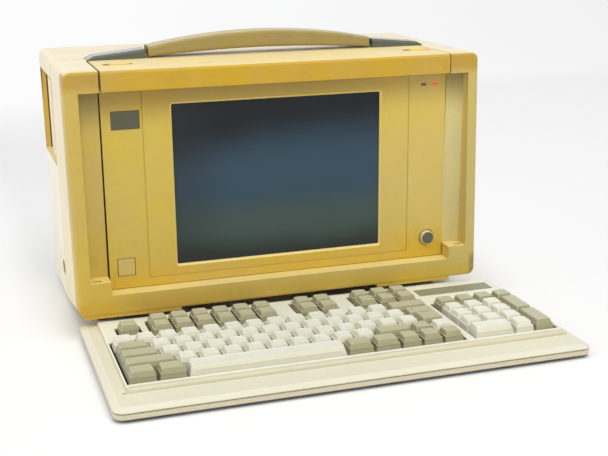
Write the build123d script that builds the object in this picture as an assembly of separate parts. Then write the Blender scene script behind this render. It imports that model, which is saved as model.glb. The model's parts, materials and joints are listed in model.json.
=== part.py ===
from build123d import *
import math
import os

# A luggable computer of about 1990: a briefcase-sized yellowed case with a carrying handle, a flat
# display unit hinged at the top of its front, and a full-size keyboard that stands before it.
# Millimetres, +Z up, z = 0 on the table. While the pieces are made, x = 0 is the middle of the case
# and y = 0 its front face; save() moves them all to the middle of the whole object's footprint.

# ---- case ----
CASE_W = 383.5
CASE_D = 212.0
CASE_TOP = 238.3
LIP_Z = 21.5
BASE_Z = 5.8
SLOPE_D = 105.0
WALL = 3.0
TOP_R = 7.0
CORNER_R = 7.0
REAR_R = 3.5
FACE_R = 3.0
SEAM_Y = 98.0
GROOVE = 0.8
FIT = 0.3
BOSS_X = 165.0
BOSS_Y = (118.0, CASE_D - 16.0)
BOSS_R = 5.0

# ---- openings of the front ----
CAP_X = (-159.9, 162.8)
BAY_X = (-162.0, 163.8)
PANEL_X = (-160.6, 163.0)
RIB_MIDDLE = 0.4
SILL_Z = 39.3
BAY_D = 66.0
COLUMN_X = (-180.0, 181.5)
RECESS_TOP = 219.8
LEDGE_Z = 51.6
TROUGH_TOP_D = 10.5
TROUGH_BOTTOM_D = 20.0
TROUGH_R = 8.0
HOOK_SLOTS = (-173.5, 176.2)
HOOK_SLOT_L = 7.6
HOOK_SLOT_W = 2.4
HOOK_SLOT_Y = 7.0
HOOK_SLOT_D = 6.0
WALL_SLOT = (7.2, 8.6, 197.3, 203.8)
PAD_DROP = 3.0
PAD_D = 20.0
PAD_LEFT = (-187.0, -100.0)
PAD_RIGHT = (90.0, 165.0)

# ---- lid hinge, handle and latches ----
BARREL_R = 3.0
BARREL_GAP = 0.4
HINGE_Y = 76.5
PIN_R = 1.5
PIN_FIT = 0.05
PIN_L = 24.0
PIN_IN_CAP = 13.0
HANDLE_Y = 79.0
HANDLE_D = 23.0
GRIP_LEFT = -104.5
GRIP_RIGHT = 111.5
GRIP_END_H = 10.0
GRIP_END_LIFT = 0.6
GRIP_ARCH = 4.7
GRIP_MID_H = 16.0
GRIP_R = 3.0
HANDLE_GAP = 3.2
HANDLE_TRAVEL = 3.0
END_L = 47.0
END_TIP_L = 5.5
END_TIP_H = 0.8
END_H_IN = 8.4
END_H_OUT = 3.8
END_BEVEL = 1.8
TONGUE_T = 1.8
TONGUE_W = 14.0
TONGUE_L = 14.0
LATCH_LEFT_X = -138.9
LATCH_RIGHT_X = 145.6
LATCH_Y = 42.6
LATCH_SLOT_L = 28.0
LATCH_SLOT_W = 11.0
LATCH_PAD_L = 20.6
LATCH_PAD_FIT = 0.5
LATCH_REST = 1.75
LATCH_PROUD = 1.7
LATCH_PLATE_T = 1.6

# ---- display unit, in the leaning panel's own plane ----
PANEL_T = 3.0
PANEL_LEAN = 2.01
PANEL_FOOT_Y = 16.8
PANEL_FOOT_Z = SILL_Z + 0.6
PANEL_H = 183.0
SCREEN_W = 196.0
SCREEN_H = 148.0
SCREEN_X = -0.7
SCREEN_UP = 17.2
SCREEN_CHAMFER = 1.6
SCREEN_R = 1.5
RIB_X = 125.3
RIB_UP = 7.7
RIB_GROOVE_W = 1.2
BADGE = (-152.1, -127.4, 145.6, 161.6)
BADGE_PROUD = 0.3
SQUARE_KEY = (-152.9, -138.0, 12.0, 27.5)
SQUARE_KEY_GAP = 0.6
BUTTON_X = 146.9
BUTTON_UP = 19.3
BUTTON_HOLE_R = 8.0
COLLAR_R = 6.8
COLLAR_PROUD = 3.6
BUTTON_R = 5.6
BUTTON_PROUD = 0.4
FLANGE_T = 1.6
FLANGE_R = 9.4
GUIDE_R = 2.0
GUIDE_POST_R = 4.5
GUIDE_POST_Y = 12.0
GUIDE_IN = 3.0
GUIDE_HOLE = 8.0
LED_W = 5.0
LED_H = 2.2
LED_UP = 169.6
LED_DARK_X = 140.5
LED_RED_X = 152.3
LED_FLANGE = (4.0, 2.5, 5.0)
SHELL_D = BAY_D - PANEL_FOOT_Y - 6.2
SHELL_T = 2.5
SHELL_H = PANEL_H - 7.0
SHELL_MARGIN = 1.5
SHELL_VENTS = 12
MODULE_T = 9.0
MODULE_MARGIN = 5.0
MODULE_RIM = 2.0
GLASS_T = 1.8
TUBE_R = 1.8
TUBE_UP = 4.0
INVERTER_GAP = 13.0
INVERTER_W = 30.0
INVERTER_Z = (60.0, 128.0)
INVERTER_LIFT = 5.0

# ---- inside and back of the case ----
TRAY_Z = 17.0
SHEET = 1.2
TRAY_W = 364.0
TRAY_Y = (BAY_D + 1.5, CASE_D - 6.5)
TRAY_WINDOW = (-60.0, 60.0, 60.0, 150.0)
BULKHEAD_TOP = 212.0
BOARD_T = 1.6
STANDOFF = 4.8
POST_R = 3.0
POST_X = (-170.0, -62.0, 44.0)
BOARD = (-176.0, 52.0, TRAY_Y[0] + 8.5, CASE_D - 9.0)
BOARD_CHIPS = ((49, 9, 30, 30, 4), (47, 51, 26, 26, 4), (30, 83, 16, 34, 5), (62, 24, 12, 40, 5))
PANEL_BACK = (-150.0, 165.0, 20.0, 201.0)
BACK_RIM = 7.0
BACK_T = 1.8
SLOT_X0 = -134.0
SLOT_PITCH = 20.32
SLOT_N = 6
SLOT_W = 12.0
SLOT_Z = (62.0, 168.0)
SLOT_SOCKET = (8.0, 11.0)
CARD_SLOTS = (1, 3)
SUPPLY = (62.0, 176.0, 120.0, 19.0, 96.0)
FAN_X = 118.0
FAN_Z = 150.0
FAN_SIZE = 80.0
FAN_T = 25.0
FAN_BORE_R = 37.0
FAN_BLADE_R = 34.0
FAN_HUB_R = 17.0
FAN_BLADES = 7
FAN_SHAFT_R = 2.0
GRILLE_R = 10.0
GRILLE_STEP = 7.5
GRILLE_SLOT = 4.0
DRIVE_L = 146.0
DRIVE_W = 101.6
DRIVE_T = 25.4
DRIVE_Z = 120.0
DRIVE_INSET = 0.5
DISK_SLOT_T = 4.4
DISK_SLOT_D = 90.0
EJECT = (12.0, 6.0)
FLOPPY_Y = 112.0
DISK_Y = 146.0
SHELF_Z = DRIVE_Z - SHEET
SHELF_X = (54.0, 183.75)
DISK_X = 40.0
VENTS_Y = 150.0
VENTS_Z = (36.0, 92.0)
VENT_W = 2.5
VENT_STEP = 6.0
VENT_N = 8
BAY_LEFT = (SEAM_Y + 4.0, CASE_D - 6.0, 138.5, 221.0)
BAY_LEFT_D = 16.0
BAY_LINING = 2.0
BAY_R = 3.0
COVER_LEFT = (112.0, 136.0, 147.5, 219.0)
SIDE_SLOT = (101.5, 119.0, 31.0, 46.0)
FOOT_L = 40.0
FOOT_W = 14.0
FOOT_TAPER = 1.5
FOOT_X = 150.0
FOOT_Y = (58.0, CASE_D - 16.0)
SPEAKER = (150.0, 62.0, 28.0)
SCREW_INSET = (14.0, 30.0, 10.0)
SCREW_HEAD_R = 3.0
SCREW_HEAD_T = 1.6
SCREW_R = 1.5
SCREW_L = 8.0

PORT_Z = 42.0
PORTS = ((-112.0, 42.0, 12.0), (-60.0, 19.0, 12.0), (-20.0, 19.0, 12.0))
PORT_FLANGE = 6.0
PORT_SHELL = 1.0
PORT_PROUD = 2.6
SOCKET_X = 26.0
SOCKET_R = 7.4
SOCKET_PIN_R = 3.2
INLET = (74.0, 102.0, 36.0, 58.0)
INLET_BLADES = ((-7.0, -1.5), (0.0, 1.5), (7.0, -1.5))
ROCKER = (122.0, 144.0, 40.0, 54.0)
ROCKER_RIM = 2.0
ROCKER_GAP = 0.5
TRUNNION_R = 1.0
TRUNNION_L = 1.0

# ---- keyboard ----
KB_X = (-191.5, 211.5)
KB_Y = (-194.2, 18.5)
KB_BOTTOM = 2.3
KB_SEAM = 8.0
KB_RIM = 11.4
KB_TOP = 15.2
KB_WALL = 2.0
KB_R = 9.0
KB_ROUND = (2.4, 6.0)
KB_FOOT = (28.0, 8.0)
PLATFORM_X = (-176.5, 202.5)
PLATFORM_Y = (-163.8, 4.6)
PLATFORM_R = 2.5
NOTCH = (-180.6, -177.2, -164.6, -160.6)
KEY = 19.05
KEY_X0 = -173.5
KEY_Y0 = -152.9
NUMPAD_X0 = 122.0
FUNCTION_Y0 = -49.1
ESCAPE_X0 = -163.5
ESCAPE_Y0 = -40.5
GROUP_A_X0 = -135.5
GROUP_B_X0 = -1.35
GROUP_C_X0 = 55.1
WELL_GAP = 1.5
KEY_BASE = 18.0
KEY_TOP_W = 12.6
KEY_TOP_D = 14.0
KEY_TOP_BACK = 1.5
KEY_SKIRT_Z = 13.2
KEY_H = 9.6
KEY_WALL = 1.5
KEY_TRAVEL = 3.4
KEY_CORNER_R = 1.0
PCB_Z = 4.6
PCB_MARGIN = 15.5
SWITCH_SIZE = 12.8
SWITCH_H = 5.0
SWITCH_FLOOR = 0.2
STEM = 4.0
STEM_FIT = 0.3
LABEL = (121.8, 196.8, -30.5, -11.8)
LABEL_T = 0.8
LABEL_PROUD = 0.1

# ---- worked out ----
HALF_W = CASE_W / 2
HINGE_Z = CASE_TOP - BARREL_R
REAR_IN = CASE_D - WALL
SIDE_IN = HALF_W - WALL
FLOOR_IN = BASE_Z + WALL
BOARD_Z = TRAY_Z + SHEET + STANDOFF
SUPPLY_BACK = REAR_IN - 4.0
ROCKER_Y = REAR_IN - 2.0
SWITCH_Z = PCB_Z + BOARD_T
STEM_FOOT = SWITCH_Z + SWITCH_FLOOR + KEY_TRAVEL + STEM_FIT
SCREEN_LEFT = SCREEN_X - SCREEN_W / 2
SCREEN_RIGHT = SCREEN_X + SCREEN_W / 2
GUIDE_Y = PANEL_T + GUIDE_POST_Y
SHIFT = Pos(-(KB_X[1] - HALF_W) / 2, -(KB_Y[0] + CASE_D) / 2, 0)
FAR = 400.0


def block(x0, x1, y0, y1, z0, z1):
    """A box between two corners."""
    return Pos((x0 + x1) / 2, (y0 + y1) / 2, (z0 + z1) / 2) * Box(x1 - x0, y1 - y0, z1 - z0)


def rod_x(x0, x1, y, z, r):
    """A round bar along x."""
    return Pos((x0 + x1) / 2, y, z) * Rot(0, 90, 0) * Cylinder(r, x1 - x0)


def rod_y(x, y0, y1, z, r):
    """A round bar along y."""
    return Pos(x, (y0 + y1) / 2, z) * Rot(90, 0, 0) * Cylinder(r, y1 - y0)


def rod_z(x, y, z0, z1, r):
    """A round bar along z."""
    return Pos(x, y, (z0 + z1) / 2) * Cylinder(r, z1 - z0)


def side_prism(points, x0, x1):
    """A prism along x over an outline of (y, z) points."""
    face = make_face(Polyline(*points, close=True))
    return extrude(Plane.YZ.offset(x0) * face, amount=x1 - x0)


def front_prism(points, y0, y1):
    """A prism along y over an outline of (x, z) points."""
    face = make_face(Polyline(*points, close=True))
    return extrude(Plane.XZ.offset(-y1) * face, amount=y1 - y0)


def save(name, shape):
    """Write one node, moved so that the origin is the middle of the footprint."""
    export_step(SHIFT * shape, os.path.join("parts", name + ".step"))


# ---------------------------------------------------------------- case ----

def underside(y):
    """Height of the outer underside at a depth y."""
    share = min(max(y / SLOPE_D, 0.0), 1.0)
    return LIP_Z + (BASE_Z - LIP_Z) * share


def case_block(inset=0.0):
    """The whole case as one block, drawn in by inset on every side."""
    outline = [(0, LIP_Z), (SLOPE_D, BASE_Z), (CASE_D, BASE_Z), (CASE_D, CASE_TOP), (0, CASE_TOP)]
    face = make_face(Polyline(*outline, close=True))
    if inset:
        face = offset(face, amount=-inset, kind=Kind.INTERSECTION)
    solid = extrude(Plane.YZ * face, amount=HALF_W - inset, both=True)
    tops = [e for e in solid.edges().group_by(Axis.Z)[-1] if abs(e.center().X) > 1]
    solid = fillet(tops, TOP_R - inset)
    lower = [e for e in solid.edges() if e.center().Z < LIP_Z and abs(e.center().X) > 1]
    solid = fillet(lower, CORNER_R - inset)
    solid = fillet(solid.edges().group_by(Axis.Y)[-1], max(REAR_R - inset, 0.5))
    return fillet(solid.edges().group_by(Axis.Y)[0], max(FACE_R - inset, 0.5))


def trough(i):
    """The slanted recess beside the display unit; i is 0 for the left one and 1 for the right."""
    outline = [(-WALL, LEDGE_Z), (TROUGH_BOTTOM_D, LEDGE_Z), (TROUGH_TOP_D, RECESS_TOP), (-WALL, RECESS_TOP)]
    cut = side_prism(outline, *sorted((BAY_X[i], COLUMN_X[i])))
    outer_edges = [e for e in cut.edges() if abs(e.center().X - COLUMN_X[i]) < 0.01]
    return fillet(max(outer_edges, key=lambda e: e.center().Y * (e.length > RECESS_TOP / 2)), TROUGH_R)


def seam_groove(y0, y1):
    """The shadow line that runs round the case where the two housings meet."""
    ring = case_block() - case_block(GROOVE * 1.5)
    return ring & block(-FAR, FAR, y0, y1, -FAR, FAR)


def front_housing(outer, inner):
    """Front shell: columns, sill, lip and the frame that the display unit closes into."""
    body = outer & block(-FAR, FAR, -1, SEAM_Y, -1, FAR)
    body -= inner & block(-FAR, FAR, BAY_D, FAR, -FAR, FAR)
    body -= block(*BAY_X, -1, BAY_D + 1, SILL_Z, CASE_TOP + 1)
    body -= block(*BAY_X, -1, HINGE_Y, HINGE_Z - BARREL_R - 1, CASE_TOP + 1)
    body -= inner & block(-FAR, FAR, WALL, BAY_D + 1, -FAR, SILL_Z - WALL)
    for i, side in enumerate((-1, 1)):
        bay = side * BAY_X[i]
        body -= trough(i)
        hollow = block(*sorted((side * (bay + WALL), side * FAR)), WALL, BAY_D + 1, SILL_Z - WALL - 1, FAR)
        pocket = inner & hollow
        pocket -= side_prism(
            [(0, LEDGE_Z - WALL), (TROUGH_BOTTOM_D + WALL, LEDGE_Z - WALL),
             (TROUGH_TOP_D + WALL, RECESS_TOP + WALL), (0, RECESS_TOP + WALL)],
            *sorted((side * (bay - 1), COLUMN_X[i] + side * WALL)))
        body -= pocket
        ear = block(*sorted((side * bay, side * (bay + PIN_L - PIN_IN_CAP))),
                    BAY_D, HINGE_Y + 2.5 * BARREL_R, HINGE_Z - 2.5 * BARREL_R, CASE_TOP - WALL / 2)
        body += ear
        body -= rod_x(*sorted((side * (bay - 1), side * (bay + PIN_L - PIN_IN_CAP + 1))),
                      HINGE_Y, HINGE_Z, PIN_R + PIN_FIT)
        body -= Pos(HOOK_SLOTS[i], HOOK_SLOT_Y, LEDGE_Z) * Box(HOOK_SLOT_L, HOOK_SLOT_W, 2 * HOOK_SLOT_D)
    body -= rod_x(*BAY_X, HINGE_Y, HINGE_Z, BARREL_R + BARREL_GAP)
    body -= block(COLUMN_X[1] - 1, COLUMN_X[1] + 2 * WALL, *WALL_SLOT)
    for x0, x1 in (PAD_LEFT, PAD_RIGHT):
        foot = side_prism([(WALL / 2, LIP_Z - PAD_DROP), (PAD_D, LIP_Z - PAD_DROP),
                           (PAD_D, underside(PAD_D) + 1), (WALL / 2, LIP_Z + 1)], x0, x1)
        body += foot
    return body - seam_groove(SEAM_Y - GROOVE, SEAM_Y)


def rear_housing(outer, inner):
    """Rear shell, with the openings for the back panel, the disk drive and the side bay."""
    body = (outer - inner) & block(-FAR, FAR, SEAM_Y, FAR, -FAR, FAR)
    x0, x1, z0, z1 = PANEL_BACK
    body -= block(x0 + BACK_RIM, x1 - BACK_RIM, REAR_IN - 1, FAR, z0 + BACK_RIM, z1 - BACK_RIM)
    y0, y1, z0, z1 = BAY_LEFT
    rim = BAY_LINING
    lining = block(-SIDE_IN - 1, -SIDE_IN + BAY_LEFT_D, y0 - rim, y1 + rim, z0 - rim, z1 + rim)
    body += lining & outer
    opening = block(-FAR, -SIDE_IN + BAY_LEFT_D - rim, y0, y1, z0, z1)
    body -= fillet(opening.edges().filter_by(Axis.X), BAY_R)
    y0, y1, z0, z1 = SIDE_SLOT
    opening = block(-FAR, 1 - SIDE_IN, y0, y1, z0, z1)
    body -= fillet(opening.edges().filter_by(Axis.X), (z1 - z0) / 2.1)
    body -= block(SIDE_IN - 1, FAR, FLOPPY_Y - 0.5, FLOPPY_Y + DRIVE_T + 0.5, DRIVE_Z - 0.5,
                  DRIVE_Z + DRIVE_W + 0.5)
    starts = [VENTS_Y + VENT_STEP * i for i in range(VENT_N)]
    body -= Compound(children=[block(SIDE_IN - 1, FAR, y, y + VENT_W, *VENTS_Z) for y in starts])
    for x, y in boss_places():
        body += rod_z(x, y, FLOOR_IN - 1, TRAY_Z, BOSS_R)
    for x, z in screw_places():
        body -= rod_y(x, CASE_D - SCREW_HEAD_T - 0.2, FAR, z, SCREW_HEAD_R + 0.4)
        body -= rod_y(x, REAR_IN - 1, CASE_D, z, SCREW_R + 0.1)
    return body


def boss_places():
    """Where the tray stands on the rear housing's floor."""
    return [(side * BOSS_X, y) for side in (-1, 1) for y in BOSS_Y]


def screw_places():
    """The screws in the corners of the back."""
    x, low, high = SCREW_INSET
    return [(side * (HALF_W - x), z) for side in (-1, 1) for z in (low, CASE_TOP - high)]


def case_screws():
    """Four pan-head screws, sunk in the back."""
    screws = []
    seat = CASE_D - SCREW_HEAD_T - 0.2
    for x, z in screw_places():
        head = rod_y(x, seat, CASE_D - 0.2, z, SCREW_HEAD_R)
        head -= block(x - 2.2, x + 2.2, CASE_D - 1.0, CASE_D, z - 0.4, z + 0.4)
        head -= block(x - 0.4, x + 0.4, CASE_D - 1.0, CASE_D, z - 2.2, z + 2.2)
        screws.append(head + rod_y(x, seat - SCREW_L, seat, z, SCREW_R))
    return Compound(children=screws)


def side_cover():
    """Sliding cover that stands in the front part of the left side's bay."""
    y0, y1, z0, z1 = COVER_LEFT
    back = -SIDE_IN + BAY_LEFT_D - BAY_LINING
    cover = block(-HALF_W + WALL / 6, back, y0, y1, z0, z1)
    return fillet(cover.edges().filter_by(Axis.X), 1.0)


def rubber_feet():
    """Four blocks under the case; the front two fill the space below the sloping underside."""
    feet = []
    for side in (-1, 1):
        for middle in FOOT_Y:
            x0, x1 = side * FOOT_X - FOOT_L / 2, side * FOOT_X + FOOT_L / 2
            front, back = middle - FOOT_W / 2, middle + FOOT_W / 2
            ends = [(front + FOOT_TAPER, 0), (back - FOOT_TAPER, 0), (back, underside(back)),
                    (front, underside(front))]
            feet.append(side_prism(ends, x0, x1))
    return Compound(children=feet)


# ------------------------------------------------------------- handle ----

def handle_end(side):
    """Wedge that holds one end of the grip; it falls away from the grip."""
    near = GRIP_LEFT - HANDLE_GAP if side < 0 else GRIP_RIGHT + HANDLE_GAP
    far = near + side * END_L
    tip = far + side * END_TIP_L
    outline = [(near, CASE_TOP), (near, CASE_TOP + END_H_IN), (far, CASE_TOP + END_H_OUT),
               (tip, CASE_TOP + END_TIP_H), (tip, CASE_TOP)]
    solid = front_prism(outline, HANDLE_Y, HANDLE_Y + HANDLE_D)
    ridge = [e for e in solid.edges() if e.center().Z > CASE_TOP + END_H_OUT + 0.5
             and abs(e.length - math.hypot(END_L, END_H_IN - END_H_OUT)) < 0.5]
    solid = chamfer(ridge, END_BEVEL)
    mouth = near + side * (TONGUE_L + 2)
    middle = HANDLE_Y + HANDLE_D / 2
    solid -= block(*sorted((near - side, mouth)), middle - TONGUE_W / 2 - 0.5, middle + TONGUE_W / 2 + 0.5,
                   CASE_TOP + 0.3, CASE_TOP + GRIP_END_LIFT + TONGUE_T + HANDLE_TRAVEL + 0.5)
    return solid


def handle_grip():
    """Arched grip with a flat tongue at each end that slides up and down in the wedges."""
    low = CASE_TOP + GRIP_END_LIFT
    middle = (GRIP_LEFT + GRIP_RIGHT) / 2
    under = ThreePointArc((GRIP_LEFT, low), (middle, low + GRIP_ARCH), (GRIP_RIGHT, low))
    over = ThreePointArc((GRIP_RIGHT, low + GRIP_END_H), (middle, low + GRIP_ARCH + GRIP_MID_H),
                         (GRIP_LEFT, low + GRIP_END_H))
    ends = [Line((GRIP_RIGHT, low), (GRIP_RIGHT, low + GRIP_END_H)),
            Line((GRIP_LEFT, low + GRIP_END_H), (GRIP_LEFT, low))]
    face = make_face([under, ends[0], over, ends[1]])
    solid = extrude(Plane.XZ.offset(-(HANDLE_Y + HANDLE_D)) * face, amount=HANDLE_D)
    arcs = [e for e in solid.edges() if e.geom_type == GeomType.CIRCLE]
    solid = fillet(arcs, GRIP_R)
    mid_y = HANDLE_Y + HANDLE_D / 2
    for end, side in ((GRIP_LEFT, -1), (GRIP_RIGHT, 1)):
        solid += block(*sorted((end - side * 4, end + side * (HANDLE_GAP + TONGUE_L))),
                       mid_y - TONGUE_W / 2, mid_y + TONGUE_W / 2, low, low + TONGUE_T)
    return solid


# ------------------------------------------------------- display unit ----

def placed(shape):
    """Move a piece from the panel's own plane into the case, with the panel's lean."""
    return Pos(0, PANEL_FOOT_Y, PANEL_FOOT_Z) * Rot(PANEL_LEAN, 0, 0) * shape


def latch_slot(x, length, width, z0, z1):
    """A slot with round ends on the top of the cap."""
    return extrude(Pos(x, LATCH_Y, z0) * SlotOverall(length, width), amount=z1 - z0)


def display_cap(outer, inner):
    """Top of the display unit, with the hinge barrel along its rear edge."""
    zone = block(*CAP_X, -1, HINGE_Y, RECESS_TOP, FAR)
    body = (outer & zone) - (inner & block(-FAR, FAR, -1, FAR, RECESS_TOP, FAR))
    body += block(*CAP_X, WALL - 1, TROUGH_TOP_D - FIT, RECESS_TOP, RECESS_TOP + WALL)
    body -= block(CAP_X[0] - 1, CAP_X[1] + 1, -1, 1.4, RECESS_TOP - 1, RECESS_TOP + 0.5)
    body += rod_x(*CAP_X, HINGE_Y, HINGE_Z, BARREL_R)
    for x0, x1 in ((CAP_X[0], CAP_X[0] + WALL), (CAP_X[1] - WALL, CAP_X[1])):
        body += outer & block(x0, x1, 1.5, HINGE_Y - 4, HINGE_Z - 12, HINGE_Z + 1)
        body += outer & block(x0, x1, 1.5, TROUGH_TOP_D - FIT, RECESS_TOP, HINGE_Z + 1)
    for x0, x1 in ((CAP_X[0] - 1, CAP_X[0] + PIN_IN_CAP), (CAP_X[1] - PIN_IN_CAP, CAP_X[1] + 1)):
        body -= rod_x(x0, x1, HINGE_Y, HINGE_Z, PIN_R + PIN_FIT)
    for x in (LATCH_LEFT_X, LATCH_RIGHT_X):
        body -= latch_slot(x, LATCH_SLOT_L, LATCH_SLOT_W, HINGE_Z - 1, CASE_TOP + 1)
    return body


def hinge_pins():
    """Two steel pins on which the display unit turns."""
    pins = []
    for i, side in enumerate((-1, 1)):
        start = BAY_X[i] - side * (PIN_IN_CAP - 1)
        pins.append(rod_x(*sorted((start, start + side * (PIN_L - 2))), HINGE_Y, HINGE_Z, PIN_R))
    return Compound(children=pins)


def latch_slider(x):
    """Oval finger pad on a plate under the cap; it rests near the right end of its slot."""
    rest = x + LATCH_REST
    width = LATCH_SLOT_W - 2 * LATCH_PAD_FIT
    pad = latch_slot(rest, LATCH_PAD_L, width, HINGE_Z - FIT, CASE_TOP + LATCH_PROUD)
    rim = pad.edges().group_by(Axis.Z)[-1]
    pad = fillet(rim, LATCH_PROUD - FIT)
    plate = block(x - 11, x + 12, LATCH_Y - LATCH_SLOT_W, LATCH_Y + LATCH_SLOT_W,
                  HINGE_Z - FIT - LATCH_PLATE_T, HINGE_Z - FIT)
    return pad + plate


def display_bezel():
    """The leaning front panel round the screen, in its own plane."""
    body = block(*PANEL_X, 0, PANEL_T, 0, PANEL_H)
    z0, z1 = SCREEN_UP, SCREEN_UP + SCREEN_H
    opening = block(SCREEN_LEFT, SCREEN_RIGHT, -1, PANEL_T + 1, z0, z1)
    body -= fillet(opening.edges().filter_by(Axis.Y), SCREEN_R)
    mouth = [e for e in body.edges() if abs(e.center().Y) < 0.01 and z0 - 1 < e.center().Z < z1 + 1
             and SCREEN_LEFT - 1 < e.center().X < SCREEN_RIGHT + 1]
    body = chamfer(mouth, SCREEN_CHAMFER)
    g = RIB_GROOVE_W / 2
    for x in (RIB_MIDDLE - RIB_X, RIB_MIDDLE + RIB_X):
        body -= block(x - g, x + g, -1, GROOVE, RIB_UP, PANEL_H)
    body -= block(RIB_MIDDLE - RIB_X, RIB_MIDDLE + RIB_X, -1, GROOVE, RIB_UP - g, RIB_UP + g)
    bx0, bx1, bz0, bz1 = BADGE
    body -= block(bx0 - FIT, bx1 + FIT, -1, GROOVE, bz0 - FIT, bz1 + FIT)
    kx0, kx1, kz0, kz1 = SQUARE_KEY
    gap = SQUARE_KEY_GAP
    body -= block(kx0 - gap, kx1 + gap, -1, PANEL_T + 1, kz0 - gap, kz1 + gap)
    body -= rod_y(BUTTON_X, -1, PANEL_T + 1, BUTTON_UP, BUTTON_HOLE_R)
    for x in (LED_DARK_X, LED_RED_X):
        body -= block(x - LED_W / 2, x + LED_W / 2, -1, PANEL_T + 1, LED_UP - LED_H / 2, LED_UP + LED_H / 2)
    return body


def display_back_shell():
    """The tray that closes the display unit from behind, with the carriers of its two buttons."""
    x0, x1 = PANEL_X[0] + SHELL_MARGIN, PANEL_X[1] - SHELL_MARGIN
    outer = block(x0, x1, PANEL_T, PANEL_T + SHELL_D, SHELL_MARGIN, SHELL_MARGIN + SHELL_H)
    hollow = block(x0 + SHELL_T, x1 - SHELL_T, PANEL_T - 1, PANEL_T + SHELL_D - SHELL_T,
                   SHELL_MARGIN + SHELL_T, SHELL_MARGIN + SHELL_H - SHELL_T)
    back = outer.edges().group_by(Axis.Y)[-1]
    body = chamfer(back, 2.0) - hollow
    for i in range(SHELL_VENTS):
        x = 12 * (i - (SHELL_VENTS - 1) / 2)
        body -= block(x - 2, x + 2, SHELL_D - SHELL_T, SHELL_D + PANEL_T + 1, SHELL_H - 26, SHELL_H - 10)
    for x, z in (square_middle(), (BUTTON_X, BUTTON_UP)):
        post = rod_y(x, GUIDE_Y, PANEL_T + SHELL_D - 1, z, GUIDE_POST_R)
        body += post - rod_y(x, GUIDE_Y - 1, GUIDE_Y + GUIDE_HOLE, z, GUIDE_R + FIT)
    return body


def square_middle():
    """Middle of the square button."""
    x0, x1, z0, z1 = SQUARE_KEY
    return (x0 + x1) / 2, (z0 + z1) / 2


def square_button():
    """Flush square push button with a guide stem behind it."""
    x0, x1, z0, z1 = SQUARE_KEY
    x, z = square_middle()
    face = block(x0, x1, 0, PANEL_T + 1, z0, z1)
    face = fillet(face.edges().filter_by(Axis.Y), 0.8)
    return face + rod_y(x, PANEL_T, GUIDE_Y + GUIDE_IN, z, GUIDE_R)


def button_collar():
    """Fixed ring round the round push button, held by the bezel's back face."""
    ring = rod_y(BUTTON_X, -COLLAR_PROUD, PANEL_T + FLANGE_T, BUTTON_UP, COLLAR_R)
    nose = ring.edges().filter_by(GeomType.CIRCLE).group_by(Axis.Y)[0]
    ring = fillet(nose, 0.8)
    ring += rod_y(BUTTON_X, PANEL_T, PANEL_T + FLANGE_T, BUTTON_UP, FLANGE_R)
    return ring - rod_y(BUTTON_X, -COLLAR_PROUD - 1, PANEL_T + FLANGE_T + 1, BUTTON_UP, BUTTON_R + FIT)


def round_button():
    """The disc that is pushed, a little proud of its collar."""
    disc = rod_y(BUTTON_X, -COLLAR_PROUD - BUTTON_PROUD, PANEL_T + FLANGE_T, BUTTON_UP, BUTTON_R)
    nose = disc.edges().filter_by(GeomType.CIRCLE).group_by(Axis.Y)[0]
    disc = fillet(nose, 0.5)
    return disc + rod_y(BUTTON_X, PANEL_T + 1, GUIDE_Y + GUIDE_IN, BUTTON_UP, GUIDE_R)


def badge_plate():
    """Bare plate in the panel's upper left."""
    x0, x1, z0, z1 = BADGE
    return block(x0, x1, -BADGE_PROUD, GROOVE, z0, z1)


def indicator(x):
    """One small indicator lens with a flange behind the panel."""
    w, h = LED_W / 2 - PIN_FIT, LED_H / 2 - PIN_FIT
    lens = block(x - w, x + w, -0.1, PANEL_T, LED_UP - h, LED_UP + h)
    w, h, t = LED_FLANGE
    return lens + block(x - w, x + w, PANEL_T, PANEL_T + t, LED_UP - h, LED_UP + h)


def screen_box(margin, y0, y1):
    """A block behind the screen opening, larger than it by margin."""
    return block(SCREEN_LEFT - margin, SCREEN_RIGHT + margin, y0, y1,
                 SCREEN_UP - margin, SCREEN_UP + SCREEN_H + margin)


def lcd_frame():
    """Steel tray of the display module, open to the front."""
    body = screen_box(MODULE_MARGIN, PANEL_T, PANEL_T + MODULE_T)
    return body - screen_box(MODULE_MARGIN - MODULE_RIM, PANEL_T - 1, PANEL_T + MODULE_T - SHEET)


def lcd_glass():
    """The screen itself, held between the bezel and the steel tray."""
    return screen_box(MODULE_MARGIN - MODULE_RIM - FIT, PANEL_T, PANEL_T + GLASS_T)


def backlight_tube():
    """Cold-cathode tube along the lower edge, lying in the tray."""
    y = PANEL_T + MODULE_T - SHEET - FIT - TUBE_R
    z = SCREEN_UP + TUBE_UP
    tube = rod_x(SCREEN_LEFT + 7, SCREEN_RIGHT - 7, y, z, TUBE_R)
    caps = [rod_x(a, a + 6, y, z, TUBE_R + 0.25) for a in (SCREEN_LEFT + 2, SCREEN_RIGHT - 8)]
    return tube + caps


def inverter_board():
    """High-voltage board that feeds the tube, standing on posts behind the bezel."""
    x0 = SCREEN_RIGHT + INVERTER_GAP
    x1 = x0 + INVERTER_W
    z0, z1 = INVERTER_Z
    y = PANEL_T + INVERTER_LIFT
    board = block(x0, x1, y, y + BOARD_T, z0, z1)
    for x in (x0 + 4, x1 - 4):
        for z in (z0 + 4, z1 - 4):
            board += rod_y(x, PANEL_T, y, z, 2.2)
    board += block(x0 + 6, x1 - 6, y, y + 17, z0 + 12, z0 + 34)
    board += rod_y(x0 + 9, y, y + 15, z0 + 48, 5)
    board += rod_y(x1 - 7, y, y + 12, z0 + 50, 4)
    return board


# ---------------------------------------------------- inside the case ----

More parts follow.
